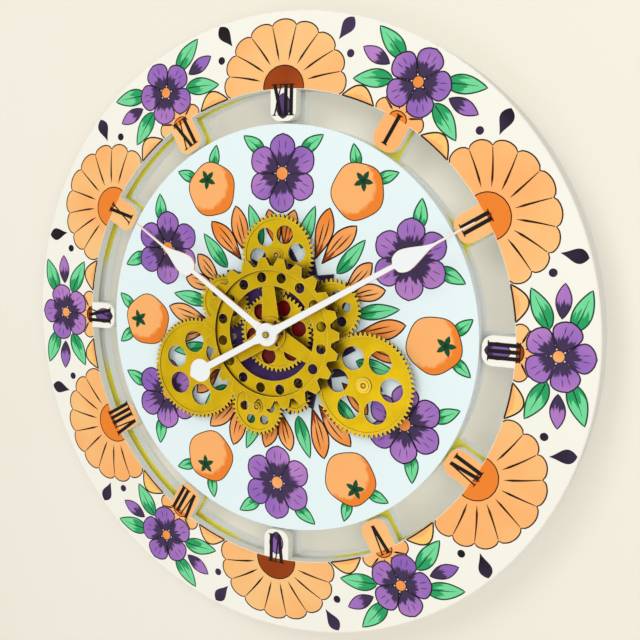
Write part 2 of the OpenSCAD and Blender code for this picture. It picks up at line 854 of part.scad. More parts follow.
module hour_hand() {
    color("white") place() translate([0, 0, hour_z]) difference() {
        rotate(90 - hour_angle) linear_extrude(hand_t) hand_2d(hour_l);
        translate([0, 0, -cut]) cylinder(d = hour_tube_d + 2 * fit, h = hand_t + 2 * cut);
    }
}

module minute_hand() {
    color("white") place() translate([0, 0, minute_z]) difference() {
        rotate(90 - minute_angle) linear_extrude(hand_t) {
            hand_2d(minute_l);
            rotate(180) tail_2d();
        }
        translate([0, 0, -cut]) cylinder(d = minute_thread_d + 2 * fit, h = hand_t + 2 * cut);
    }
}

module hour_tube() {
    color(STEEL) place() translate([0, 0, wheel_room_z + play])
        tube(hour_tube_d / 2, minute_shaft_d / 2 + fit, hour_top_z - wheel_room_z - play);
}

module minute_shaft() {
    color(STEEL) place() {
        translate([0, 0, knob_z]) cylinder(d = minute_shaft_d, h = minute_z - knob_z);
        translate([0, 0, minute_z]) cylinder(d = minute_thread_d, h = minute_top_z - minute_z);
    }
}

module hand_nut() {
    color(GOLD) place() translate([0, 0, hand_nut_z]) tube(hand_nut_r, minute_thread_d / 2 + fit, hand_nut_t);
}

// Clock movement behind the dial

module threaded_bush() {
    color(GOLD) place() difference() {
        union() {
            translate([0, 0, case_front_z]) cylinder(r = bush_r, h = bush_top_z - case_front_z);
            translate([0, 0, case_front_z - bush_flange_t]) cylinder(r = bush_flange_r, h = bush_flange_t);
        }
        translate([0, 0, case_front_z - bush_flange_t - cut])
            cylinder(d = hour_tube_d + 2 * fit, h = bush_top_z - case_front_z + bush_flange_t + 2 * cut);
    }
}

module movement_gasket() {
    color(BLACK) place() translate([0, 0, case_front_z]) tube(gasket_r, bush_r + fit, gasket_t);
}

module movement_case() {
    color(BLACK) place() difference() {
        translate([0, 0, case_z]) rounded_block([movement_w, movement_w, case_t], case_corner);
        translate([0, 0, case_front_z - bush_flange_t])
            cylinder(r = bush_flange_r + fit, h = bush_flange_t + cut);
        translate([0, 0, wheel_room_z]) cylinder(d = hour_tube_d + 2 * slide, h = case_t);
        translate([0, 0, case_z - cut]) cylinder(d = minute_shaft_d + 2 * fit, h = case_t + 2 * cut);
        translate([0, clock_bay_y, case_z + bay_w / 2 - cut / 2])
            cube([bay_l, bay_w, bay_w + cut], center = true);
    }
}

module setting_knob() {
    color(BLACK) place() translate([0, 0, knob_z]) difference() {
        cylinder(r = knob_r, h = knob_t);
        translate([0, 0, -cut]) cylinder(d = minute_shaft_d + 2 * fit, h = knob_t + 2 * cut);
        around(knob_grooves, knob_r + knob_groove_out) translate([0, 0, -cut])
            cylinder(d = knob_groove_d, h = knob_t + 2 * cut);
    }
}

// Cell that lies along x, with its raised end towards +x
module cell() {
    rotate([0, 90, 0]) {
        translate([0, 0, -cell_l / 2]) cylinder(d = cell_d, h = cell_l - cell_nub_l);
        translate([0, 0, cell_l / 2 - cell_nub_l]) cylinder(d = cell_nub_d, h = cell_nub_l);
    }
}

// Contact plates at both ends of a cell bay
module contacts() {
    for (s = [-1, 1]) translate([s * (bay_l - contact_t) / 2, 0, 0])
        cube([contact_t, contact_w, contact_h], center = true);
}

module clock_cell() {
    color([0.30, 0.36, 0.42]) place() translate([0, clock_bay_y, clock_cell_z]) cell();
}

module clock_contacts() {
    color(STEEL) place() translate([0, clock_bay_y, clock_cell_z]) contacts();
}

// Motor that turns the gears

module motor_screw_places() {
    x = motor_l / 2 - motor_screw_inset;
    y = motor_h / 2 - motor_screw_inset;
    for (sx = [-1, 1], sy = [-1, 1]) translate([motor_x + motor_l / 2 + sx * x, sy * y, 0]) children();
}

module motor_plan(h) {
    translate([motor_x + motor_l / 2, 0, 0]) rounded_block([motor_l, motor_h, h], case_corner);
}

module motor_case() {
    color(WHITE) place() difference() {
        translate([0, 0, motor_z]) motor_plan(case_t);
        at(motor_at, motor_shaft_z - play) cylinder(d = motor_shaft_d + 2 * fit, h = case_t);
        motor_screw_places() translate([0, 0, motor_z - cut])
            cylinder(d = motor_screw_d + 2 * fit, h = case_t + 2 * cut);
        switch_slot(switch_l, switch_w, motor_z - cut, switch_pocket_h + cut);
    }
}

// Slot that leaves the slider its travel, from z upwards
module switch_slot(l, w, z, h) {
    slot_l = l + switch_travel + 2 * slide;
    slot_w = w + 2 * slide;
    translate([switch_x - slot_l / 2, -slot_w / 2, z]) cube([slot_l, slot_w, h]);
}

module motor_cover() {
    color(WHITE) place() difference() {
        translate([0, 0, motor_z - cover_t]) motor_plan(cover_t);
        motor_screw_places() translate([0, 0, motor_z - cover_t - cut])
            cylinder(d = motor_screw_d + 2 * fit, h = cover_t + 2 * cut);
        switch_slot(
            switch_l - 2 * switch_lip, switch_w - switch_lip, motor_z - cover_t - cut, cover_t + 2 * cut
        );
    }
}

module motor_screws() {
    color(STEEL) place() motor_screw_places() translate([0, 0, motor_z - cover_t])
        pan_screw(motor_screw_d, cover_t + case_t + screw_grip);
}

module motor_shaft() {
    color(STEEL) place() at(motor_at, motor_shaft_z)
        cylinder(d = motor_shaft_d, h = red_z + red_t - motor_shaft_z);
}

module motor_pinion() {
    color(GOLD) place() at(motor_at, red_z) difference() {
        linear_extrude(red_t) gear_outline(motor_n, motor_phase);
        translate([0, 0, -cut]) cylinder(d = motor_shaft_d + 2 * fit, h = red_t + 2 * cut);
    }
}

// The slider stands at the end of its travel that is nearer to the hand axis
module gear_switch() {
    stem_h = switch_base_h / 2 + play + cover_t + switch_h;
    color(BLACK) place() translate([switch_x - switch_travel / 2, 0, motor_z]) {
        translate([-switch_l / 2, -switch_w / 2, play]) cube([switch_l, switch_w, switch_base_h]);
        translate([switch_lip - switch_l / 2, (switch_lip - switch_w) / 2, -cover_t - switch_h])
            cube([switch_l - 2 * switch_lip, switch_w - switch_lip, stem_h]);
    }
}

// Battery holder of the motor

module bay_places() {
    for (s = [-1, 1]) translate([holder_x, holder_y + s * (bay_w + bay_wall) / 2, 0]) children();
}

module cell_holder() {
    color(BLACK) place() difference() {
        translate([holder_x - holder_l / 2, holder_y - holder_w / 2, holder_z])
            cube([holder_l, holder_w, gap_z - holder_z]);
        bay_places() translate([-bay_l / 2, -bay_w / 2, holder_z - cut]) cube([bay_l, bay_w, bay_w + cut]);
        bay_places() translate([0, 0, gap_z - holder_floor])
            sunk_hole(holder_screw_d, holder_floor + cut, small_head_h);
    }
}

module gear_cells() {
    color([0.30, 0.36, 0.42]) place() bay_places() translate([0, 0, gear_cell_z]) cell();
}

module holder_contacts() {
    color(STEEL) place() bay_places() translate([0, 0, gear_cell_z]) contacts();
}

module holder_screws() {
    color(STEEL) place() bay_places() translate([0, 0, gap_z - holder_floor])
        sunk_screw(holder_screw_d, holder_floor + screw_grip, small_head_h);
}

// Two leads that run straight up from the holder to the motor case
module motor_leads() {
    holder_top = holder_y + holder_w / 2;
    color([0.6, 0.1, 0.1]) place() for (i = [0, 1]) at([lead_x + i * lead_gap, holder_top], lead_z)
        rotate([-90, 0, 0]) cylinder(d = lead_d, h = -motor_h / 2 - holder_top);
}

// Hanging

module hanger_screw_places() {
    for (s = [-1, 1]) translate([s * hanger_screw_at, hang_y, 0]) children();
}

module hanger_plate() {
    color(STEEL) place() translate([0, 0, hanger_z]) difference() {
        translate([0, hang_y, 0]) rounded_block([hanger_l, hanger_w, hanger_t], hanger_corner);
        translate([0, hang_y, -cut]) cylinder(d = hang_hole_d, h = hanger_t + 2 * cut);
        hanger_screw_places() translate([0, 0, -cut])
            cylinder(d = hanger_screw_d + 2 * fit, h = hanger_t + 2 * cut);
    }
}

module hanger_screws() {
    color(STEEL) place() hanger_screw_places() translate([0, 0, hanger_z])
        pan_screw(hanger_screw_d, hanger_t + screw_grip);
}

module wall_bumpers() {
    color(BLACK) place() around(4, bumper_ring_r, 45) translate([0, 0, rear_z - bumper_h])
        cylinder(r1 = bumper_r - bumper_taper, r2 = bumper_r, h = bumper_h);
}

front_ring();
dial_disc();
rear_panel();
rim_band();
ring_spacers();
disc_spacers();
ring_screws();
disc_screws();
gear_base_plate();
base_plate_screws();
centre_gear();
red_drive_gear();
ring_gear();
wheel_hub();
hub_screws();
centre_sleeve();
sleeve_washer();
bush_nut();
gear_posts();
post_nuts();
axle_caps();
top_gear();
right_gear();
lower_right_gear();
left_gear();
lower_left_gear();
bottom_gear();
bottom_pinion();
hour_hand();
hour_tube();
minute_hand();
minute_shaft();
hand_nut();
threaded_bush();
movement_gasket();
movement_case();
setting_knob();
clock_cell();
clock_contacts();
motor_case();
motor_cover();
motor_screws();
motor_shaft();
motor_pinion();
gear_switch();
cell_holder();
gear_cells();
holder_contacts();
holder_screws();
motor_leads();
hanger_plate();
hanger_screws();
wall_bumpers();
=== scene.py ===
"""Looks of the round wall clock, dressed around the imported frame. Metres, +Z up, +Y into the wall."""
import json
import math

import bmesh
import bpy
from mathutils import Matrix, Vector


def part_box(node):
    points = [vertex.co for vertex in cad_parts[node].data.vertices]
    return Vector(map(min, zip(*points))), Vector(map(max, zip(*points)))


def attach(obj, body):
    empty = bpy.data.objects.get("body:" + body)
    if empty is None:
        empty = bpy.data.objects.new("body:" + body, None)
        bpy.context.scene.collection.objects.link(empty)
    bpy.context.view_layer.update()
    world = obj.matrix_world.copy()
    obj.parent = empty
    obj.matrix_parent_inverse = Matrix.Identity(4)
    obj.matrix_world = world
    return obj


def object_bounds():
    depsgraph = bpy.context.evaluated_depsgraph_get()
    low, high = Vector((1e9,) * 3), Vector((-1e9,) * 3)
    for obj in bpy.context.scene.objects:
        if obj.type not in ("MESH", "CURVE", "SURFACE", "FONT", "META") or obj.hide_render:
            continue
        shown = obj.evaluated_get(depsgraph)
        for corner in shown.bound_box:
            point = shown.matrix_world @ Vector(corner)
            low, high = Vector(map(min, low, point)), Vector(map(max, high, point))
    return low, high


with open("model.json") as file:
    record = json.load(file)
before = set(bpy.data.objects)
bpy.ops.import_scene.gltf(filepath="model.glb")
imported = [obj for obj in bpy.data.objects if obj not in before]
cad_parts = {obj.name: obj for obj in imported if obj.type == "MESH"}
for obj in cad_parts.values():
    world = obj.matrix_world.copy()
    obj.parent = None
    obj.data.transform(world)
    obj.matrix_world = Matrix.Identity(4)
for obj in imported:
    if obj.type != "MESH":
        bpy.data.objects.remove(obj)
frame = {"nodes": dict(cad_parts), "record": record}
cad_low, cad_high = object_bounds()
nodes = frame["nodes"]

MM = 0.001
HOURS = 12
HOUR_STEP = 360 / HOURS
SIDES = (-1, 1)

# Places on the face: the front and the hand axis in metres, the rest in mm round that axis

disc_low, disc_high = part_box("dial_disc")
FRONT_Y = disc_low.y
CENTRE_Z = (disc_low.z + disc_high.z) / 2
DISC_R = (disc_high.x - disc_low.x) / 2 / MM
RING_INNER_R = 229
TAB_GAP = 2.5
TAB_END_R = DISC_R + TAB_GAP
TAB_W = 27
TAB_CORNER = 10


def place(x, y, z):
    """A point in mm, x right, y up and z out of the dial, in the scene's metres."""
    return Vector((x * MM, FRONT_Y - z * MM, CENTRE_Z + y * MM))


# Colours of the clock


def linear(value):
    """One screen value from 0 to 255 in linear light, by the sRGB curve."""
    value /= 255
    return value / 12.92 if value <= 0.04045 else ((value + 0.055) / 1.055) ** 2.4


def colour(red, green, blue):
    """The shader's linear colour for screen values from 0 to 255."""
    return (linear(red), linear(green), linear(blue), 1.0)


def mixed(a, b, share):
    """Colour a with a share of colour b."""
    return tuple(p + (q - p) * share for p, q in zip(a, b))


PURE_WHITE = (1.0, 1.0, 1.0, 1.0)
WARM_WHITE = colour(247, 245, 236)
COOL_WHITE = colour(230, 246, 249)
PANEL_EDGE = colour(236, 236, 224)
DISC_EDGE = colour(240, 247, 250)
BOARD_CORE = (0.3, 0.27, 0.2, 1.0)
REAR_PALE = colour(240, 244, 241)
REAR_YELLOW = colour(255, 246, 84)
BAND = colour(238, 233, 219)
ORANGE = colour(252, 180, 110)
ORANGE_LIGHT = colour(251, 199, 132)
ORANGE_DEEP = colour(240, 132, 44)
BROWN = colour(146, 58, 6)
BROWN_LIGHT = colour(176, 76, 8)
SWAG_LIGHT = colour(251, 204, 112)
PURPLE = colour(142, 98, 186)
PURPLE_LIGHT = colour(186, 130, 202)
PURPLE_DARK = colour(66, 50, 86)
GREEN = colour(116, 220, 156)
GREEN_DEEP = colour(40, 162, 98)
GREEN_DARK = colour(18, 78, 46)
GREEN_DULL = colour(24, 74, 48)
INK_BLACK = colour(22, 17, 15)
INK_SOFT = colour(34, 28, 26)
INK_BROWN = colour(62, 30, 8)
GOLD = colour(234, 197, 22)
# The ring gear's gold is a little darker: painted shade for the lesser light on it
RING_GOLD_SHADED = colour(222, 186, 18)
# Painted shade for the cut sides of the gold
GOLD_SIDE_SHADE = colour(62, 40, 0)
# Painted highlight for the open edges of the gold
GOLD_EDGE_HIGHLIGHT = colour(250, 226, 120)
GOLD_SHADE = colour(46, 28, 0)
RED = colour(124, 0, 2)
RED_DEEP = colour(84, 0, 4)
PLATE_PURPLE = colour(74, 48, 106)
# Darker purple for the plate's teeth: painted shade, where they lie in shadow
PLATE_TEETH_SHADE = colour(34, 23, 50)
HAND_WHITE = colour(238, 244, 245)
HAND_EDGE = colour(246, 192, 146)
BRASS = colour(218, 172, 46)
BRASS_LIGHT = colour(240, 202, 64)
STEEL = colour(176, 176, 172)
METAL_DULL = (0.1, 0.08, 0.05, 1.0)
# Painted shade for the corners of bare metal and the dark rings round axes
METAL_SHADE = (0.02, 0.01, 0.0, 1.0)
# Painted highlight for the open edges of bare metal
METAL_HIGHLIGHT = (1.0, 0.95, 0.8, 1.0)
BLACK_PLASTIC = colour(28, 28, 30)
BLACK_DEEP = colour(14, 14, 15)
WHITE_PLASTIC = colour(222, 221, 214)
WHITE_DEEP = colour(206, 204, 194)
RUBBER = colour(34, 33, 32)
RUBBER_DEEP = colour(20, 20, 20)
CELL_BODY = colour(44, 48, 54)
CELL_TOP = colour(196, 128, 66)
LEAD_RED = colour(168, 24, 20)
LEAD_BLACK = colour(24, 24, 24)
WALL = colour(242, 238, 225)
FLOOR = colour(236, 232, 222)


# Node materials. A span is the pair of values between which a look changes

NOISE_SPAN = (0.2, 0.8)
PATCH_SPAN = (0.3, 0.7)
FACE_SPAN = (0.6, 0.9)
EDGE_SPAN = (0.98, 0.82)
EDGE_SAMPLES = 6
FINE_DEPTH = 0.0001
QUARTER = 90.0


class Look:
    """A node material, with short calls for the nodes that the looks share."""

    def __init__(self, name, **values):
        self.material = bpy.data.materials.new(name)
        self.material.use_nodes = True
        self.tree = self.material.node_tree
        self.shader = self.tree.nodes["Principled BSDF"]
        for key, value in values.items():
            self.set(key, value)

    def set(self, key, value):
        """Sets or links one input of the shader, named with _ for each space."""
        names = {i.name.lower().replace(" ", "_"): i for i in self.shader.inputs}
        self.feed(names[key], value)

    def feed(self, socket, value):
        """Links a socket to another one, or sets it to a plain value."""
        if isinstance(value, bpy.types.NodeSocket):
            self.tree.links.new(value, socket)
        else:
            socket.default_value = value

    def node(self, kind, **settings):
        made = self.tree.nodes.new("ShaderNode" + kind)
        for key, value in settings.items():
            setattr(made, key, value)
        return made

    def math(self, operation, a, b=0.0, clamp=False):
        made = self.node("Math", operation=operation, use_clamp=clamp)
        self.feed(made.inputs[0], a)
        self.feed(made.inputs[1], b)
        return made.outputs[0]

    def mix(self, factor, a, b):
        """Colour a where the factor is 0 and colour b where it is 1."""
        made = self.node("Mix", data_type="RGBA")
        self.feed(made.inputs["Factor"], factor)
        self.feed(made.inputs[6], a)
        self.feed(made.inputs[7], b)
        return made.outputs[2]

    def band(self, value, low, high, to_low=0.0, to_high=1.0):
        """A smooth step from to_low to to_high while value goes from low to high."""
        made = self.node("MapRange", interpolation_type="SMOOTHSTEP")
        for key, given in (("Value", value), ("From Min", low), ("From Max", high)):
            self.feed(made.inputs[key], given)
        made.inputs["To Min"].default_value = to_low
        made.inputs["To Max"].default_value = to_high
        return made.outputs["Result"]

    def place(self):
        """The rest position in metres."""
        made = self.node("TexCoord")
        return made.outputs["Object"]

    def parts(self, vector):
        made = self.node("SeparateXYZ")
        self.feed(made.inputs[0], vector)
        return made.outputs

    def vector(self, x, y, z):
        made = self.node("CombineXYZ")
        for socket, value in zip(made.inputs, (x, y, z)):
            self.feed(socket, value)
        return made.outputs[0]

    def distance(self, across, up):
        """The length of a step across and up."""
        squares = [self.math("MULTIPLY", side, side) for side in (across, up)]
        return self.math("SQRT", self.math("ADD", *squares))

    def motif(self):
        """The two coordinates of a printed shape's own map, and a zero."""
        made = self.node("UVMap", uv_map="motif")
        return self.parts(made.outputs[0])

    def noise(self, vector, scale, detail):
        made = self.node("TexNoise")
        self.feed(made.inputs["Vector"], vector)
        made.inputs["Scale"].default_value = scale
        made.inputs["Detail"].default_value = detail
        return made.outputs["Fac"]

    def patches(self, scale, detail, span=PATCH_SPAN):
        """Soft patches across the piece, from 0 to 1."""
        return self.band(self.noise(self.place(), scale, detail), *span)

    def skin(self, scale, detail, rough, strength=0.0, depth=FINE_DEPTH):
        """A fine noise that varies the roughness and, with a strength, stands out as a bump."""
        fine = self.noise(self.place(), scale, detail)
        self.set("roughness", self.band(fine, *NOISE_SPAN, *rough))
        if strength:
            bump = self.node("Bump")
            bump.inputs["Strength"].default_value = strength
            bump.inputs["Distance"].default_value = depth
            self.feed(bump.inputs["Height"], fine)
            self.set("normal", bump.outputs[0])
        return fine

    def facing(self):
        """1 on faces that look out of the dial, 0 on the sides and on the back."""
        made = self.node("TexCoord")
        out = self.math("MULTIPLY", self.parts(made.outputs["Normal"])[1], -1.0)
        return self.band(out, *FACE_SPAN)

    def sideways(self):
        """1 on the cut sides, 0 on front and back faces."""
        made = self.node("TexCoord")
        out = self.math("ABSOLUTE", self.parts(made.outputs["Normal"])[1])
        return self.band(out, *reversed(FACE_SPAN))

    def crease(self, radius):
        """1 near a sharp edge or corner, 0 on the flat of a face."""
        soft = self.node("Bevel", samples=EDGE_SAMPLES)
        soft.inputs["Radius"].default_value = radius
        dot = self.node("VectorMath", operation="DOT_PRODUCT")
        self.feed(dot.inputs[0], soft.outputs[0])
        self.feed(dot.inputs[1], self.node("NewGeometry").outputs["Normal"])
        return self.band(dot.outputs["Value"], *EDGE_SPAN)

    def open_air(self, reach):
        """1 in the open, towards 0 where other surfaces stand within reach."""
        made = self.node("AmbientOcclusion", samples=EDGE_SAMPLES)
        made.inputs["Distance"].default_value = reach
        return made.outputs["AO"]

    def from_axes(self, axes):
        """Distance in metres to the nearest of some axes, each given by its x and z."""
        x, _, z = self.parts(self.place())
        nearest = None
        for axis_x, axis_z in axes:
            far = self.distance(self.math("SUBTRACT", x, axis_x), self.math("SUBTRACT", z, axis_z))
            nearest = far if nearest is None else self.math("MINIMUM", nearest, far)
        return nearest

    def off_quarter(self):
        """Degrees round the hand axis to the nearest of twelve, three, six and nine."""
        x, _, z = self.parts(self.place())
        angle = self.math("ARCTAN2", x, self.math("SUBTRACT", z, CENTRE_Z))
        turn = self.math("DIVIDE", angle, math.radians(QUARTER))
        off = self.math("SUBTRACT", self.math("FRACT", self.math("ADD", turn, 0.5)), 0.5)
        return self.math("MULTIPLY", self.math("ABSOLUTE", off), QUARTER)


# Materials of the CAD pieces, with lengths in metres and angles in degrees

HAND_AXIS = [(0.0, CENTRE_Z)]
SATELLITES = (
    "top_gear", "right_gear", "lower_right_gear", "left_gear",
    "lower_left_gear", "bottom_gear", "bottom_pinion",
)
AXLES = []
for gear in SATELLITES:
    gear_low, gear_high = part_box(gear)
    AXLES.append(((gear_low.x + gear_high.x) / 2, (gear_low.z + gear_high.z) / 2))

# The yellow on the rear panel keeps near the lesser hours by the dial, and joins them by the ring.
# It starts and ends at angles from the main hours, given at the dial and at the ring
REAR_SPLIT_R = (0.208, 0.218)
YELLOW_FROM = (24.0, 14.0)
YELLOW_TO = (36.0, 60.0)
YELLOW_SOFT = 3.0

# Painted shade on gold where other surfaces stand within reach
GOLD_SHADE_REACH = 0.016
GOLD_SHADE_SPAN = (0.1, 0.8)
# Edge lines on gold: painted highlight on open edges, painted shade in inner corners
GOLD_LINE_REACH = 0.0016
GOLD_LINE_SPAN = (0.86, 0.97)
GOLD_LINE_R = 0.0012

# Painted shade in the corners of bare metal, and its edge lines of painted highlight and painted shade
METAL_REACH = 0.0025
METAL_SHADE_SPAN = (0.3, 0.9)
METAL_LINE_SPAN = (0.8, 0.95)
METAL_LINE_R = 0.0005
# Radii of the painted shade ring round each axle cap and round the hand axis
CAP_SHADE_RING = (0.0016, 0.0027)
NUT_SHADE_RING = (0.0021, 0.0040)
RING_SOFT = 0.0002

TEETH_FROM = (0.062, 0.07)
HAND_LINE_R = 0.0012
CELL_TOP_L = 0.012
CELL_TOP_SOFT = 0.0008
CELL_PAIR_H = 0.02
CELL_SPLIT_SOFT = 0.0002
CELL_BELOW = 0.001
LEAD_SPLIT_SOFT = 0.0001


def printed_board(name, face, edge):
    """Printed gloss face on board, with the bare core on the cut sides."""
    look = Look(name, specular_ior_level=0.3)
    cloud = look.patches(scale=9.0, detail=3.0, span=(0.25, 0.75))
    shade = look.mix(cloud, face, mixed(face, edge, share=0.22))
    grain = look.noise(look.place(), scale=260.0, detail=4.0)
    core = look.mix(grain, edge, mixed(edge, BOARD_CORE, share=0.14))
    look.set("base_color", look.mix(look.facing(), core, shade))
    look.skin(scale=900.0, detail=2.0, rough=(0.36, 0.48), strength=0.05, depth=0.0002)
    return look.material


def rear_board():
    """Pale board with yellow paint on its front, away from the main hours."""
    look = Look("pale_board")
    grain = look.skin(scale=420.0, detail=4.0, rough=(0.48, 0.62), strength=0.08, depth=0.0003)
    far = look.from_axes(HAND_AXIS)
    off = look.off_quarter()
    start = look.band(far, *REAR_SPLIT_R, *YELLOW_FROM)
    end = look.band(far, *REAR_SPLIT_R, *YELLOW_TO)
    beyond = look.band(look.math("SUBTRACT", off, start), -YELLOW_SOFT, YELLOW_SOFT)
    within = look.band(look.math("SUBTRACT", off, end), YELLOW_SOFT, -YELLOW_SOFT)
    painted = look.math("MULTIPLY", look.facing(), look.math("MULTIPLY", beyond, within))
    plain = look.mix(grain, REAR_PALE, mixed(REAR_PALE, PANEL_EDGE, share=0.6))
    look.set("base_color", look.mix(painted, plain, REAR_YELLOW))
    return look.material


def satin_plastic(name, base, deep, roughness, scale=1200.0, strength=0.12):
    """Moulded plastic or paint with a fine texture and slow changes of tone."""
    look = Look(name, specular_ior_level=0.25)
    slow = look.patches(scale=35.0, detail=3.0)
    look.set("base_color", look.mix(slow, base, mixed(base, deep, share=0.5)))
    look.skin(scale, detail=2.0, rough=(roughness - 0.06, roughness + 0.06), strength=strength)
    return look.material


def gold_paint(name, face):
    """Satin gold with painted shade on its cut sides and where other surfaces stand close.

    Lines along the edges are a painted highlight on open edges and painted shade in inner corners.
    """
    look = Look(name, metallic=0.85, specular_ior_level=0.3)
    slow = look.patches(scale=60.0, detail=3.0)
    tone = look.mix(slow, face, mixed(face, GOLD_SIDE_SHADE, share=0.14))
    # Painted shade: the cut sides take a dark gold, as if they lay in shadow
    shaded_sides = look.mix(look.sideways(), tone, GOLD_SIDE_SHADE)
    # Painted shade where other surfaces stand close, from ambient occlusion
    unshaded = look.band(look.open_air(GOLD_SHADE_REACH), *GOLD_SHADE_SPAN)
    shaded = look.mix(unshaded, GOLD_SHADE, shaded_sides)
    # Painted highlight along open edges, painted shade along inner corners
    line = look.mix(look.band(look.open_air(GOLD_LINE_REACH), *GOLD_LINE_SPAN), GOLD_SHADE, GOLD_EDGE_HIGHLIGHT)
    look.set("base_color", look.mix(look.crease(GOLD_LINE_R), shaded, line))
    look.skin(scale=1600.0, detail=3.0, rough=(0.34, 0.46), strength=0.06)
    return look.material


def turned_metal(name, base, roughness, axes=None, ring=None):
    """Bare metal with fine tool marks, a painted highlight on its open edges and painted shade in its
    corners.

    Where axes are given, a dark ring of painted shade lies round each one, between the two radii of
    ring.
    """
    look = Look(name, metallic=1.0)
    slow = look.noise(look.place(), scale=50.0, detail=2.0)
    tone = look.mix(slow, base, mixed(base, METAL_DULL, share=0.15))
    shade_tone = mixed(base, METAL_SHADE, share=0.85)
    # Painted shade: a dark ring round each axis
    if axes:
        far = look.from_axes(axes)
        inside = look.band(far, ring[0] - RING_SOFT, ring[0] + RING_SOFT)
        outside = look.band(far, ring[1] + RING_SOFT, ring[1] - RING_SOFT)
        tone = look.mix(look.math("MULTIPLY", inside, outside), tone, shade_tone)
    air = look.open_air(METAL_REACH)
    # Painted shade where other surfaces stand close, from ambient occlusion
    shaded = look.mix(look.band(air, *METAL_SHADE_SPAN), shade_tone, tone)
    # Painted highlight along open edges, painted shade along inner corners
    line = look.mix(look.band(air, *METAL_LINE_SPAN), shade_tone, mixed(base, METAL_HIGHLIGHT, share=0.5))
    look.set("base_color", look.mix(look.crease(METAL_LINE_R), shaded, line))
    look.skin(scale=1400.0, detail=3.0, rough=(roughness - 0.05, roughness + 0.06), strength=0.02)
    return look.material


def plate_paint():
    """Satin purple that is darker on the teeth, a painted shade where they lie in shadow."""
    look = Look("satin_purple", specular_ior_level=0.25)
    # Painted shade: the teeth are darker, as if in shadow
    outer = look.band(look.from_axes(HAND_AXIS), *TEETH_FROM)
    look.set("base_color", look.mix(outer, PLATE_PURPLE, PLATE_TEETH_SHADE))
    look.skin(scale=1200.0, detail=2.0, rough=(0.36, 0.48), strength=0.12)
    return look.material


def hand_paint():
    """White paint with a warm line along the edges."""
    look = Look("hand_white", specular_ior_level=0.3)
    rim = look.math("MAXIMUM", look.sideways(), look.crease(HAND_LINE_R))
    look.set("base_color", look.mix(rim, HAND_WHITE, HAND_EDGE))
    look.skin(scale=900.0, detail=2.0, rough=(0.34, 0.46), strength=0.04)
    return look.material


def cell_jacket(node):
    """Dark foil sleeve with a copper coloured right end.

    In a node with a pair of cells, the lower one is turned round.
    """
    low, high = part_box(node)
    look = Look(node + "_sleeve", metallic=0.35)
    x, _, z = look.parts(look.place())
    right = look.band(x, high.x - CELL_TOP_L, high.x - CELL_TOP_L + CELL_TOP_SOFT)
    left = look.band(x, low.x + CELL_TOP_L, low.x + CELL_TOP_L - CELL_TOP_SOFT)
    pair = high.z - low.z > CELL_PAIR_H
    split = (low.z + high.z) / 2 if pair else low.z - CELL_BELOW
    upper = look.band(z, split - CELL_SPLIT_SOFT, split + CELL_SPLIT_SOFT)
    turned = look.math("MULTIPLY", left, look.math("SUBTRACT", 1.0, upper))
    copper = look.math("ADD", look.math("MULTIPLY", right, upper), turned)
    look.set("base_color", look.mix(copper, CELL_BODY, CELL_TOP))
    look.skin(scale=1400.0, detail=2.0, rough=(0.28, 0.4))
    return look.material


def lead_sleeve(middle_x):
    """A red lead left of the middle and a black one right of it."""
    look = Look("lead_sleeve")
    x = look.parts(look.place())[0]
    right = look.band(x, middle_x - LEAD_SPLIT_SOFT, middle_x + LEAD_SPLIT_SOFT)
    look.set("base_color", look.mix(right, LEAD_RED, LEAD_BLACK))
    look.skin(scale=1500.0, detail=2.0, rough=(0.38, 0.5), strength=0.05)
    return look.material


# Caps and the nut carry a dark ring of painted shade round their axes
cap_brass = turned_metal("cap_brass", BRASS_LIGHT, roughness=0.3, axes=AXLES, ring=CAP_SHADE_RING)
nut_brass = turned_metal("nut_brass", BRASS_LIGHT, roughness=0.3, axes=HAND_AXIS, ring=NUT_SHADE_RING)
lead_low, lead_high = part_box("motor_leads")
SLOT_LOOKS = {
    "printed_panel": printed_board("ring_board", WARM_WHITE, PANEL_EDGE),
    "printed_dial": printed_board("dial_board", COOL_WHITE, DISC_EDGE),
    "pale_panel": rear_board(),
    "white_band": satin_plastic(
        "edge_band", BAND, PANEL_EDGE, roughness=0.45, scale=500.0, strength=0.06,
    ),
    "gold_gear": gold_paint("satin_gold", GOLD),
    # The ring gear takes the darker gold, a painted shade
    "gold_ring": gold_paint("satin_ring_gold", RING_GOLD_SHADED),
    "red_gear": satin_plastic("satin_red", RED, RED_DEEP, roughness=0.4),
    "purple_plate": plate_paint(),
    "brass": turned_metal("brass_metal", BRASS, roughness=0.3),
    "white_hand": hand_paint(),
    "steel": turned_metal("zinc_steel", STEEL, roughness=0.34),
    "black_plastic": satin_plastic("black_plastic", BLACK_PLASTIC, BLACK_DEEP, roughness=0.5),
    "white_plastic": satin_plastic("white_plastic", WHITE_PLASTIC, WHITE_DEEP, roughness=0.48),
    "cell_jacket": cell_jacket("clock_cell"),
    "lead_jacket": lead_sleeve((lead_low.x + lead_high.x) / 2),
    "rubber": satin_plastic("matt_rubber", RUBBER, RUBBER_DEEP, roughness=0.75),
}
NODE_LOOKS = {
    "gear_cells": cell_jacket("gear_cells"),
    "axle_caps": cap_brass,
    "gear_posts": cap_brass,
    "hand_nut": nut_brass,
    "minute_shaft": nut_brass,
}
for part in frame["record"]["subparts"]:
    for material_slot in nodes[part["node"]].material_slots:
        material_slot.material = NODE_LOOKS.get(part["node"], SLOT_LOOKS[part["material_slot"]])


# Inks of the print. s runs across a shape and t along it, both from 0 to 1

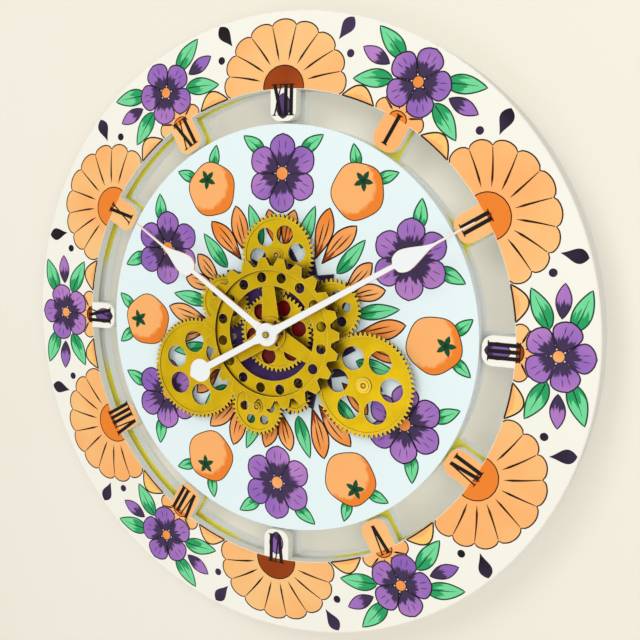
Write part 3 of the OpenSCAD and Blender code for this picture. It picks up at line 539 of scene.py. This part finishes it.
INK_GLOSS = 0.12
INK_GRAIN = 900.0
INK_ROUGH = (0.36, 0.47)
STROKE_STRETCH = 1.4
STROKE_SOFT = 0.05
STROKE_SHIFT = (21.0, 17.0)
FRUIT_LIGHT = (0.36, 0.60)
FRUIT_EDGE = (0.44, 0.52)
FRUIT_RAGGED = 9.0
FRUIT_RAGGED_BY = 0.16


def plain_ink(ink, base, other, roughness=0.4):
    """Ink that changes slowly between two tones."""
    look = Look("ink_" + ink, specular_ior_level=INK_GLOSS)
    look.set("base_color", look.mix(look.patches(scale=16.0, detail=2.0), base, other))
    look.skin(INK_GRAIN, detail=2.0, rough=(roughness - 0.05, roughness + 0.06))
    return look.material


def brushed_ink(ink, root, body, tip, reach, spread, strokes):
    """Ink with brush strokes of its root tone that run along t up to about reach.

    The strokes also follow the place on the clock, so that no two shapes look alike.
    """
    look = Look("ink_" + ink, specular_ior_level=INK_GLOSS)
    s, t, _ = look.motif()
    x, _, z = look.parts(look.place())
    shifts = [look.math("MULTIPLY", way, shift) for way, shift in zip((x, z), STROKE_SHIFT)]
    own = look.math("ADD", *shifts)
    along = look.math("MULTIPLY", t, STROKE_STRETCH)
    stroke = look.vector(look.math("MULTIPLY", s, strokes), along, own)
    uneven = look.math("SUBTRACT", look.noise(stroke, scale=1.0, detail=3.0), 0.5)
    limit = look.math("ADD", look.math("MULTIPLY", uneven, spread), reach)
    above = look.band(look.math("SUBTRACT", t, limit), -STROKE_SOFT, STROKE_SOFT)
    light = look.mix(look.patches(scale=14.0, detail=2.0), body, tip)
    look.set("base_color", look.mix(above, root, light))
    look.skin(INK_GRAIN, detail=2.0, rough=INK_ROUGH)
    return look.material


def fruit_ink(ink):
    """Round fruit with a deeper crescent on one side, its edge a little ragged."""
    look = Look("ink_" + ink, specular_ior_level=INK_GLOSS)
    s, t, _ = look.motif()
    far = look.distance(*[look.math("SUBTRACT", a, b) for a, b in zip((s, t), FRUIT_LIGHT)])
    grid = look.vector(s, t, 0.0)
    ragged = look.math("SUBTRACT", look.noise(grid, scale=FRUIT_RAGGED, detail=3.0), 0.5)
    edge = look.math("ADD", far, look.math("MULTIPLY", ragged, FRUIT_RAGGED_BY))
    look.set("base_color", look.mix(look.band(edge, *FRUIT_EDGE), ORANGE, ORANGE_DEEP))
    look.skin(INK_GRAIN, detail=2.0, rough=INK_ROUGH)
    return look.material


INKS = {
    "fan": brushed_ink("fan", ORANGE, ORANGE, ORANGE_LIGHT, reach=0.2, spread=0.2, strokes=9.0),
    "tab": plain_ink("tab", ORANGE, ORANGE_LIGHT),
    "oval": brushed_ink("oval", PURPLE_DARK, PURPLE_DARK, PURPLE, reach=0.3, spread=0.4, strokes=7.0),
    "swag": brushed_ink("swag", ORANGE, SWAG_LIGHT, ORANGE_LIGHT, reach=0.35, spread=0.5, strokes=8.0),
    "heart": brushed_ink("heart", BROWN, ORANGE_DEEP, ORANGE_DEEP, reach=0.2, spread=0.5, strokes=12.0),
    "brown": brushed_ink("brown", BROWN, BROWN_LIGHT, BROWN, reach=0.35, spread=0.6, strokes=9.0),
    "petal": brushed_ink(
        "petal", PURPLE_DARK, PURPLE, PURPLE_LIGHT, reach=0.45, spread=0.75, strokes=9.0,
    ),
    "leaf": brushed_ink("leaf", GREEN_DEEP, GREEN, GREEN, reach=0.42, spread=0.9, strokes=6.0),
    "drop": brushed_ink("drop", BROWN, ORANGE_DEEP, ORANGE, reach=0.25, spread=0.7, strokes=5.0),
    "fruit": fruit_ink("fruit"),
    "eye": plain_ink("eye", ORANGE_DEEP, ORANGE),
    "line": plain_ink("line", INK_BROWN, INK_BLACK),
    "dark": plain_ink("dark", INK_BLACK, PURPLE_DARK),
    "stem": plain_ink("stem", GREEN_DARK, GREEN_DULL),
    "numeral": plain_ink("numeral", INK_BLACK, INK_SOFT, roughness=0.36),
}


# Films of ink, with all lengths in mm. Levels are heights above the panel's face

FILM_FOOT = -0.02
TAB_Z = 0.01
UNDER_Z = 0.03
LEAF_Z = 0.06
FILL_Z = 0.10
SEPAL_Z = 0.17
NUMERAL_Z = 0.20
LINE_UP = 0.02


class Spot:
    """Axes of one motif on the dial: u to its right and v along its heading, clockwise from up."""

    def __init__(self, x, y, heading):
        self.x = x
        self.y = y
        self.heading = heading

    def __call__(self, u, v):
        a = math.radians(self.heading)
        return (
            self.x + u * math.cos(a) + v * math.sin(a),
            self.y - u * math.sin(a) + v * math.cos(a),
        )

    def turned(self, u, v, heading):
        return Spot(*self(u, v), self.heading + heading)


def clock_spot(radius, clock):
    """A spot at a radius from the hand axis that heads outward, clock in degrees from twelve."""
    a = math.radians(clock)
    return Spot(radius * math.sin(a), radius * math.cos(a), clock)


class Film:
    """Shapes printed in one ink, gathered into one closed mesh with each shape's own map."""

    def __init__(self, ink, panel):
        self.ink = ink
        self.panel = panel
        self.points = []
        self.faces = []
        self.maps = []

    def add(self, point, z):
        self.points.append(place(*point, z))
        return len(self.points) - 1

    def face(self, corners, maps):
        self.faces.append(corners)
        self.maps.extend(maps)

    def close(self, rim, points, maps):
        """Adds the thin wall and the back under a loop of corners."""
        foot = [self.add(p, FILM_FOOT) for p in points]
        n = len(rim)
        for i in range(n):
            k = (i + 1) % n
            self.face((rim[i], foot[i], foot[k], rim[k]), (maps[i], maps[i], maps[k], maps[k]))
        self.face(tuple(reversed(foot)), tuple(reversed(maps)))

    def patch(self, shape, level, across, along):
        """Fills shape(s, t), in steps across it and along it."""
        spots = [[(i / across, j / along) for i in range(across + 1)] for j in range(along + 1)]
        rows = [[self.add(shape(*st), level) for st in row] for row in spots]
        for j in range(along):
            for i in range(across):
                ring = ((i, j), (i + 1, j), (i + 1, j + 1), (i, j + 1))
                self.face([rows[b][a] for a, b in ring], [spots[b][a] for a, b in ring])
        loop = [(i, 0) for i in range(across)]
        loop += [(across, j) for j in range(along)]
        loop += [(across - i, along) for i in range(across)]
        loop += [(0, along - j) for j in range(along)]
        self.close(
            [rows[b][a] for a, b in loop],
            [shape(*spots[b][a]) for a, b in loop],
            [spots[b][a] for a, b in loop],
        )

    def plate(self, outline, level):
        """Fills one outline, given as a loop of points, with a flat face."""
        us = [p[0] for p in outline]
        vs = [p[1] for p in outline]
        size = max(max(us) - min(us), max(vs) - min(vs))
        maps = [((u - min(us)) / size, (v - min(vs)) / size) for u, v in outline]
        top = [self.add(p, level) for p in outline]
        self.face(top, maps)
        self.close(top, outline, maps)

    def ribbon(self, path, widths, level, closed=False):
        """A stroke along path, as wide at each point as widths says."""
        n = len(path)
        left = []
        right = []
        for i, (x, y) in enumerate(path):
            before = path[i - 1] if i or closed else path[0]
            after = path[(i + 1) % n] if i < n - 1 or closed else path[-1]
            dx = after[0] - before[0]
            dy = after[1] - before[1]
            size = math.hypot(dx, dy) or 1.0
            w = widths[i] / 2 / size
            left.append((x - dy * w, y + dx * w))
            right.append((x + dy * w, y - dx * w))
        if closed:
            left.append(left[0])
            right.append(right[0])
        self.strip(left, right, level)

    def strip(self, left, right, level):
        """Fills the space between two rows of points."""
        n = len(left) - 1
        tops = []
        for side, points in ((0.0, left), (1.0, right)):
            tops.append([(self.add(p, level), (side, i / n)) for i, p in enumerate(points)])
        for i in range(n):
            ring = (tops[0][i], tops[1][i], tops[1][i + 1], tops[0][i + 1])
            self.face([c[0] for c in ring], [c[1] for c in ring])
        loop = tops[1] + tops[0][::-1]
        self.close([c[0] for c in loop], right + left[::-1], [c[1] for c in loop])

    def make(self):
        """Makes the mesh and hangs it on the clock."""
        mesh = bpy.data.meshes.new("print_" + self.panel + "_" + self.ink)
        mesh.from_pydata(self.points, [], self.faces)
        layer = mesh.uv_layers.new(name="motif")
        for corner, st in zip(layer.data, self.maps):
            corner.uv = st
        work = bmesh.new()
        work.from_mesh(mesh)
        bmesh.ops.recalc_face_normals(work, faces=work.faces)
        work.to_mesh(mesh)
        work.free()
        mesh.materials.append(INKS[self.ink])
        piece = bpy.data.objects.new(mesh.name, mesh)
        bpy.context.scene.collection.objects.link(piece)
        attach(piece, "clock_body")


films = {}


def film(ink, panel):
    """The one film of an ink on a panel."""
    return films.setdefault((ink, panel), Film(ink, panel))


# Motifs that the ring and the dial share

SAME_POINT = 0.25
LEAST_HALF_W = 0.1
LEAF_PEAK = 0.42
LEAF_LINE_W = 1.3
RIB_AT = (0.06, 0.2, 0.35, 0.5, 0.65, 0.8)
RIB_WIDTHS = (1.3, 1.2, 1.0, 0.8, 0.5, 0.2)
PETAL_FOOT = 0.1
PETAL_PEAK = 0.64
PETAL_POWER = 0.62
PETAL_LINE_W = 1.3
PETAL_LAP = 0.004
VEIN_TURN = 7
VEIN_AT = (0.62, 0.7, 0.78, 0.85)
VEIN_WIDTHS = (0.2, 0.7, 0.6, 0.2)
EYE_SHARE = 0.17
STAMEN_AT = 0.27
STAMEN_SHARE = 0.045
DISC_STEPS = 48
DISC_WAVES = 5
DISC_LINED_FROM = 3
DISC_LINE_W = 0.9


def edge_loop(shape, across, along):
    """The outline of a patch, without points that lie on each other."""
    raw = [shape(i / across, 0.0) for i in range(across)]
    raw += [shape(1.0, j / along) for j in range(along)]
    raw += [shape(1.0 - i / across, 1.0) for i in range(across)]
    raw += [shape(0.0, 1.0 - j / along) for j in range(along)]
    loop = []
    for p in raw:
        if not loop or math.dist(p, loop[-1]) > SAME_POINT:
            loop.append(p)
    if math.dist(loop[0], loop[-1]) <= SAME_POINT:
        loop.pop()
    return loop


def drawn(ink, panel, shape, level, across, along, line_ink="line", line_w=1.5):
    """A filled shape with its outline."""
    film(ink, panel).patch(shape, level, across, along)
    loop = edge_loop(shape, across, along)
    film(line_ink, panel).ribbon(loop, [line_w] * len(loop), level + LINE_UP, closed=True)


def swell(t, peak):
    """0 at both ends and 1 where t is at peak."""
    return math.sin(math.pi * t ** (math.log(0.5) / math.log(peak)))


def lens(spot, length, width, peak=0.45, bend=0.0, power=0.85):
    """A pointed leaf, drop or petal that starts at spot and runs along its heading."""

    def shape(s, t):
        half = max(width / 2 * swell(t, peak) ** power, LEAST_HALF_W)
        return spot((2 * s - 1) * half + bend * t * t, length * t)

    return shape


def leaf(panel, spot, length, width, bend):
    """A leaf with a dark outline and a rib that fades towards its tip."""
    shape = lens(spot, length, width, LEAF_PEAK, bend)
    drawn("leaf", panel, shape, LEAF_Z, across=4, along=16, line_ink="stem", line_w=LEAF_LINE_W)
    rib = [spot(bend * t * t, length * t) for t in RIB_AT]
    film("stem", panel).ribbon(rib, RIB_WIDTHS, LEAF_Z + LINE_UP)


def disc(ink, panel, spot, radius, level, line_ink="dark", wave=0.0):
    """A round spot, wavy by a share of its radius, with an outline unless it is tiny."""
    loop = []
    for i in range(DISC_STEPS):
        a = 2 * math.pi * i / DISC_STEPS
        reach = radius * (1 + wave * math.cos(DISC_WAVES * a))
        loop.append(spot(reach * math.cos(a), reach * math.sin(a)))
    film(ink, panel).plate(loop, level)
    if radius > DISC_LINED_FROM:
        film(line_ink, panel).ribbon(loop, [DISC_LINE_W] * DISC_STEPS, level + LINE_UP, closed=True)


def blossom(panel, spot, size, width, petals):
    """An open flower whose petals reach out by size."""
    for i in range(petals):
        petal = spot.turned(0, 0, i * 360 / petals)
        foot = petal.turned(0, size * PETAL_FOOT, 0)
        shape = lens(foot, size * (1 - PETAL_FOOT), width, PETAL_PEAK, power=PETAL_POWER)
        level = FILL_Z + PETAL_LAP * (i % 2)
        drawn("petal", panel, shape, level, across=8, along=18, line_ink="dark", line_w=PETAL_LINE_W)
        for side in SIDES:
            vein = petal.turned(0, 0, side * VEIN_TURN)
            path = [vein(0, size * t) for t in VEIN_AT]
            film("dark", panel).ribbon(path, VEIN_WIDTHS, FILL_Z + 2 * LINE_UP)
    disc("eye", panel, spot, size * EYE_SHARE, FILL_Z + 3 * LINE_UP)
    for i in range(petals):
        stamen = spot.turned(0, 0, (i + 0.5) * 360 / petals).turned(0, size * STAMEN_AT, 0)
        disc("dark", panel, stamen, size * STAMEN_SHARE, FILL_Z + 3 * LINE_UP)


# Print of the ring: shells and blossoms by turns, on the hours

PRINT_INSET = 0.4
PRINT_FOOT_R = RING_INNER_R + PRINT_INSET
BEND_R = 245
HOUR_U = BEND_R * math.radians(HOUR_STEP)
SHELL_W = 62
SHELL_H = 58
SHELL_LOBES = 9
SHELL_LINE_W = 1.2
SHELL_FOOT = 0.02
CUP_W = 25
CUP_H = 19
CUP_LOBES = 5
LOBE_SHARE = 0.08
LOBE_POWER = 0.6
LOBE_STEPS = 9
FOLD_AT = (0.44, 0.56, 0.68, 0.80, 0.98)
FOLD_WIDTHS = (0.3, 2.0, 1.7, 1.3, 0.7)
HEART_SHARE = 0.36
HEART_FOOT = 0.04
HEART_STEPS = 30
HEART_LINE_W = 1.0
TAB_INSET = 0.1
TAB_LAP = 1.5
TAB_CORNER_STEPS = 8
OVAL_UP = 2.5
OVAL_W = 15
OVAL_H = 23
SWAG_GAP = 3
SWAG_H = 13
SWAG_LEAST_H = 0.1
ACCENT_U = 50
ACCENT_H = 47
ACCENT_TURN = 38
ACCENT_DOT_OUT = 13
ACCENT_DOT_DOWN = 10
ACCENT_DOT_R = 3.2
RING_FLOWER_UP = 36
RING_LEAF_TURNS = (64, 112)
RING_LEAF_FROM = 24
BUD_TURN = 88
BUD_FROM = 32


def bent(clock, u, h):
    """A point u mm round the ring, measured at BEND_R, and h mm out from its inner edge."""
    a = math.radians(clock) + u / BEND_R
    radius = PRINT_FOOT_R + h
    return radius * math.sin(a), radius * math.cos(a)


def shell(clock, half_w, height, lobes, level, heart):
    """A scalloped shell whose flat side lies along the ring's inner edge."""

    def point(s, share):
        a = math.pi * (s - 0.5)
        lobe = abs(math.sin(lobes * math.pi * s)) ** LOBE_POWER
        reach = share + LOBE_SHARE * lobe * share ** 3
        return bent(clock, half_w * reach * math.sin(a), height * reach * math.cos(a))

    steps = lobes * LOBE_STEPS
    film("fan", "ring").patch(lambda s, t: point(s, max(t, SHELL_FOOT)), level, across=steps, along=6)
    lines = film("line", "ring")
    rim = [point(i / steps, 1.0) for i in range(steps + 1)]
    lines.ribbon(rim, [SHELL_LINE_W] * len(rim), level + LINE_UP)
    for i in range(1, lobes):
        fold = [point(i / lobes, share) for share in FOLD_AT]
        lines.ribbon(fold, FOLD_WIDTHS, level + LINE_UP)
    film(heart, "ring").patch(
        lambda s, t: point(s, max(t, HEART_FOOT) * HEART_SHARE),
        level + LINE_UP, across=HEART_STEPS, along=4,
    )
    arc = [point(i / HEART_STEPS, HEART_SHARE) for i in range(HEART_STEPS + 1)]
    lines.ribbon(arc, [HEART_LINE_W] * len(arc), level + 2 * LINE_UP)


def tab(clock):
    """The colour of an hour tab, up to the ring's inner edge."""
    spot = Spot(0, 0, clock)
    half = TAB_W / 2 - TAB_INSET
    corner = TAB_CORNER - TAB_INSET
    low = TAB_END_R + TAB_INSET
    top = PRINT_FOOT_R + TAB_LAP
    outline = []
    for side, first in ((-1, 180), (1, 270)):
        for i in range(TAB_CORNER_STEPS + 1):
            a = math.radians(first + 90 * i / TAB_CORNER_STEPS)
            u = side * (half - corner) + corner * math.cos(a)
            outline.append((u, low + corner + corner * math.sin(a)))
    foot = math.sqrt(top ** 2 - half ** 2)
    outline += [(half, foot), (0, top), (-half, foot)]
    film("tab", "ring").plate([spot(*p) for p in outline], TAB_Z)


def main_tab(clock):
    """A plain oval on the bare tab of twelve, three, six or nine."""
    foot = Spot(0, 0, clock).turned(0, TAB_END_R + OVAL_UP, 0)
    shape = lens(foot, OVAL_H, OVAL_W, peak=0.5, power=0.6)
    drawn("oval", "ring", shape, TAB_Z, across=8, along=18, line_ink="dark", line_w=0.9)


def swag(clock, from_u, to_u):
    """A crescent along the ring's inner edge."""

    def shape(s, t):
        height = max(SWAG_H * math.sin(math.pi * s) * t, SWAG_LEAST_H * t)
        return bent(clock, from_u + (to_u - from_u) * s, height)

    drawn("swag", "ring", shape, UNDER_Z, across=20, along=2)


def accent(clock, side):
    """A dark drop with a dot under it, on one shoulder of a shell."""
    spot = Spot(*bent(clock, side * ACCENT_U, ACCENT_H), clock + side * ACCENT_TURN)
    shape = lens(spot, length=23, width=12, peak=0.66)
    drawn("dark", "ring", shape, UNDER_Z, across=6, along=16, line_ink="dark", line_w=0.8)
    dot = bent(clock, side * (ACCENT_U + ACCENT_DOT_OUT), ACCENT_H - ACCENT_DOT_DOWN)
    disc("dark", "ring", Spot(*dot, clock), ACCENT_DOT_R, UNDER_Z)


def ring_print():
    """Shells on the even hours, and blossoms over small shells on the odd ones."""
    for hour in range(HOURS):
        clock = hour * HOUR_STEP
        main = hour % 3 == 0
        heart = "brown" if main else "heart"
        if main:
            main_tab(clock)
        else:
            tab(clock)
        if hour % 2 == 0:
            shell(clock, SHELL_W, SHELL_H, SHELL_LOBES, FILL_Z, heart)
            for side in SIDES:
                accent(clock, side)
            continue
        shell(clock, CUP_W, CUP_H, CUP_LOBES, UNDER_Z, heart)
        flower = Spot(*bent(clock, 0, RING_FLOWER_UP), clock)
        for side in SIDES:
            swag(clock, side * (CUP_W + SWAG_GAP), side * (HOUR_U - SHELL_W - SWAG_GAP))
            for turn in RING_LEAF_TURNS:
                foot = flower.turned(0, 0, side * turn).turned(0, RING_LEAF_FROM, 0)
                leaf("ring", foot, length=38, width=16, bend=side * 3)
            bud = flower.turned(0, 0, side * BUD_TURN).turned(0, BUD_FROM, 0)
            shape = lens(bud, length=30, width=13, peak=0.5)
            level = LEAF_Z + 2 * LINE_UP
            drawn("petal", "ring", shape, level, across=6, along=14, line_ink="dark", line_w=1.1)
        blossom("ring", flower, size=31, width=25, petals=5)


# Print of the dial: large blossoms and oranges by turns, with drops towards the gears

FLOWER_R = 151
FLOWER_LEAF_TURN = 47
FLOWER_LEAF_FROM = 27
FRUIT_AT_R = 156
FRUIT_R = 26
FRUIT_WAVE = 0.03
FRUIT_LEAF_TURN = 34
FRUIT_LEAF_FROM = 20
SEPALS = 5
SEPAL_FROM = 11
INNER_LEAF_R = 84
DROP_AT_R = 80
DROP_OUT = 4
DROP_TURN = 9
DROP_BEND = 4.0
DROP_STROKES = ((0.36, 0.2), (0.64, 0.32))
DROP_STROKE_STEP = 0.1
DROP_STROKE_WIDTHS = (0.2, 1.0, 1.4, 1.3, 0.9, 0.2)


def drop_pair(clock, length, width):
    """Two drops that spread from the gears, each with two strokes."""
    for side in SIDES:
        spot = clock_spot(DROP_AT_R, clock).turned(side * DROP_OUT, 0, side * DROP_TURN)
        shape = lens(spot, length, width, peak=0.6, bend=side * DROP_BEND, power=0.8)
        drawn("drop", "dial", shape, UNDER_Z, across=6, along=18)
        for s, start in DROP_STROKES:
            path = [shape(s, start + DROP_STROKE_STEP * i) for i in range(len(DROP_STROKE_WIDTHS))]
            film("line", "dial").ribbon(path, DROP_STROKE_WIDTHS, UNDER_Z + LINE_UP)


def dial_print():
    """Blossoms on the even hours and oranges on the odd ones."""
    for hour in range(HOURS):
        clock = hour * HOUR_STEP
        if hour % 2 == 0:
            flower = clock_spot(FLOWER_R, clock)
            for side in SIDES:
                foot = flower.turned(0, 0, side * FLOWER_LEAF_TURN).turned(0, FLOWER_LEAF_FROM, 0)
                leaf("dial", foot, length=28, width=13, bend=side * 3)
                foot = clock_spot(INNER_LEAF_R, clock + side * HOUR_STEP / 2)
                leaf("dial", foot, length=42, width=14, bend=side * 3)
            drop_pair(clock, length=38, width=16)
            blossom("dial", flower, size=37, width=26, petals=6)
            continue
        fruit = clock_spot(FRUIT_AT_R, clock)
        drop_pair(clock, length=50, width=18)
        for side in SIDES:
            foot = fruit.turned(0, 0, side * FRUIT_LEAF_TURN).turned(0, FRUIT_LEAF_FROM, 0)
            leaf("dial", foot, length=23, width=11, bend=side * 2)
        disc("fruit", "dial", fruit, FRUIT_R, FILL_Z, line_ink="line", wave=FRUIT_WAVE)
        for i in range(SEPALS):
            sepal = lens(fruit.turned(0, SEPAL_FROM, i * 360 / SEPALS), length=10, width=5)
            film("stem", "dial").patch(sepal, SEPAL_Z, across=2, along=8)


ring_print()
dial_print()


# Numerals. THICK and THIN are the widths of their strokes

NUMERALS = ("XII", "I", "II", "III", "IV", "V", "VI", "VII", "VIII", "IX", "X", "XI")
NUMERAL_H = 29
NUMERAL_LOW_R = 204.5
THICK = 3.6
THIN = 1.4
THIN_DOWN = 0.02
V_FOOT_OUT = 0.6
SERIF_H = 1.0
SERIF_OUT = 1.3
SERIF_DOWN = 0.01
SIDE_SPACE = 2.1
ADVANCE = {"I": 5.8, "V": 11.2, "X": 11.2}


def bar(spot, low_u, high_u, width):
    """One slanted or upright stroke of a numeral, the thin ones a little lower."""
    half = width / 2
    level = NUMERAL_Z if width == THICK else NUMERAL_Z - THIN_DOWN
    outline = [
        (low_u - half, 0), (low_u + half, 0),
        (high_u + half, NUMERAL_H), (high_u - half, NUMERAL_H),
    ]
    film("numeral", "ring").plate([spot(*p) for p in outline], level)


def serif(spot, u, width, low):
    """A short line across the end of a stroke."""
    half = width / 2 + SERIF_OUT
    high = low + SERIF_H
    outline = [(u - half, low), (u + half, low), (u + half, high), (u - half, high)]
    film("numeral", "ring").plate([spot(*p) for p in outline], NUMERAL_Z - SERIF_DOWN)


def numeral(text, clock):
    """One Roman numeral, its foot towards the hand axis."""
    spot = Spot(0, 0, clock).turned(0, NUMERAL_LOW_R, 0)
    top = NUMERAL_H - SERIF_H
    u = -sum(ADVANCE[letter] for letter in text) / 2
    for letter in text:
        wide = ADVANCE[letter]
        middle = u + wide / 2
        left = middle - (wide / 2 - SIDE_SPACE)
        right = middle + (wide / 2 - SIDE_SPACE)
        if letter == "I":
            bar(spot, middle, middle, THICK)
            serif(spot, middle, THICK, 0)
            serif(spot, middle, THICK, top)
        if letter == "V":
            bar(spot, middle, left, THICK)
            bar(spot, middle + V_FOOT_OUT, right, THIN)
            serif(spot, left, THICK, top)
            serif(spot, right, THIN, top)
        if letter == "X":
            bar(spot, right, left, THICK)
            bar(spot, left, right, THIN)
            serif(spot, left, THIN, 0)
            serif(spot, left, THICK, top)
            serif(spot, right, THICK, 0)
            serif(spot, right, THIN, top)
        u += wide


for hour, text in enumerate(NUMERALS):
    numeral(text, hour * HOUR_STEP)

for made in films.values():
    made.make()


# Stage: a wall behind the clock and a floor below it, both seen only from their front

WALL_GAP = 0.0002
WALL_Y = cad_high.y + WALL_GAP
FLOOR_DROP = 0.45
FLOOR_Z = cad_low.z - FLOOR_DROP
REACH = 6.0

# Metal on the clock's back looks through the wall, which lies nearer to it than this
NEAR = 0.05


def stage_look(name, base):
    """Matt paint that the camera sees, also in mirrors further off than NEAR. Light passes through."""
    look = Look(name, roughness=0.85)
    slow = look.patches(scale=3.0, detail=3.0)
    look.set("base_color", look.mix(slow, base, mixed(base, PURE_WHITE, share=0.08)))
    rays = look.node("LightPath")
    far = look.math("GREATER_THAN", rays.outputs["Ray Length"], NEAR)
    mirrored = look.math("MULTIPLY", rays.outputs["Is Glossy Ray"], far)
    seen = look.math("ADD", rays.outputs["Is Camera Ray"], mirrored)
    seen = look.math("ADD", seen, rays.outputs["Is Transmission Ray"], clamp=True)
    behind = look.node("NewGeometry").outputs["Backfacing"]
    share = look.math("MULTIPLY", seen, look.math("SUBTRACT", 1.0, behind))
    shown = look.node("MixShader")
    clear = look.node("BsdfTransparent")
    look.feed(shown.inputs[0], share)
    look.feed(shown.inputs[1], clear.outputs[0])
    look.feed(shown.inputs[2], look.shader.outputs[0])
    look.feed(look.tree.nodes["Material Output"].inputs["Surface"], shown.outputs[0])
    return look.material


def stage_sheet(name, first, second, base):
    """A sheet REACH to each side of the middle, between two lines given by y and z."""
    corners = [(-REACH, *first), (REACH, *first), (REACH, *second), (-REACH, *second)]
    mesh = bpy.data.meshes.new(name)
    mesh.from_pydata(corners, [], [(0, 1, 2, 3)])
    mesh.materials.append(stage_look(name + "_paint", base))
    sheet = bpy.data.objects.new(name, mesh)
    bpy.context.scene.collection.objects.link(sheet)


stage_sheet("wall", (WALL_Y, FLOOR_Z), (WALL_Y, REACH), WALL)
stage_sheet("floor", (-REACH, FLOOR_Z), (WALL_Y, FLOOR_Z), FLOOR)


# Light

SKY_TINT = (1.0, 0.985, 0.955, 1.0)
SKY_STRENGTH = 0.65

world = bpy.data.worlds.new("studio")
bpy.context.scene.world = world
world.use_nodes = True
sky = world.node_tree.nodes["Background"]
sky.inputs["Color"].default_value = SKY_TINT
sky.inputs["Strength"].default_value = SKY_STRENGTH


def softbox(name, spot, size, power, tint):
    """A round lamp, placed from the middle of the dial and aimed at it."""
    lamp = bpy.data.lights.new(name, "AREA")
    lamp.shape = "DISK"
    lamp.size = size
    lamp.energy = power
    lamp.color = tint
    holder = bpy.data.objects.new(name, lamp)
    bpy.context.scene.collection.objects.link(holder)
    aim = Vector((0, FRONT_Y, CENTRE_Z))
    holder.location = aim + Vector(spot)
    holder.rotation_mode = "QUATERNION"
    holder.rotation_quaternion = (aim - holder.location).to_track_quat("-Z", "Y")


softbox("key", (-0.9, -2.2, 1.6), size=1.4, power=15.0, tint=(1.0, 0.985, 0.96))
softbox("fill", (1.3, -1.9, 0.3), size=1.4, power=12.5, tint=(1.0, 0.99, 0.975))
softbox("sheen", (-0.55, -2.0, -0.75), size=0.9, power=2.8, tint=(1.0, 0.99, 0.97))
bpy.context.scene.view_settings.view_transform = "Standard"


# Camera at the photograph's angle, worked out round the hand axis in mm

CAMERA_AZIMUTH = math.radians(25.45)
CAMERA_HEIGHT = math.radians(7.36)
CAMERA_ROLL = math.radians(1.24)
CAMERA_DISTANCE = 827.98
CAMERA_TARGET = (42.98, 14.37)
CAMERA_LENS = 49.30
CAMERA_SENSOR = 36.0
CAMERA_CLIP = 0.01

forward = Vector((
    -math.sin(CAMERA_AZIMUTH) * math.cos(CAMERA_HEIGHT),
    math.cos(CAMERA_AZIMUTH) * math.cos(CAMERA_HEIGHT),
    -math.sin(CAMERA_HEIGHT),
))
level = Vector((math.cos(CAMERA_AZIMUTH), math.sin(CAMERA_AZIMUTH), 0))
upright = level.cross(forward)
right = level * math.cos(CAMERA_ROLL) + upright * math.sin(CAMERA_ROLL)
up = upright * math.cos(CAMERA_ROLL) - level * math.sin(CAMERA_ROLL)
eye = place(*CAMERA_TARGET, 0) - forward * CAMERA_DISTANCE * MM
camera = bpy.data.objects.new("camera", bpy.data.cameras.new("camera"))
bpy.context.scene.collection.objects.link(camera)
camera.data.lens = CAMERA_LENS
camera.data.sensor_width = CAMERA_SENSOR
camera.data.clip_start = CAMERA_CLIP
camera.matrix_world = Matrix((
    (right.x, up.x, -forward.x, eye.x),
    (right.y, up.y, -forward.y, eye.y),
    (right.z, up.z, -forward.z, eye.z),
    (0, 0, 0, 1),
))
bpy.context.scene.camera = camera
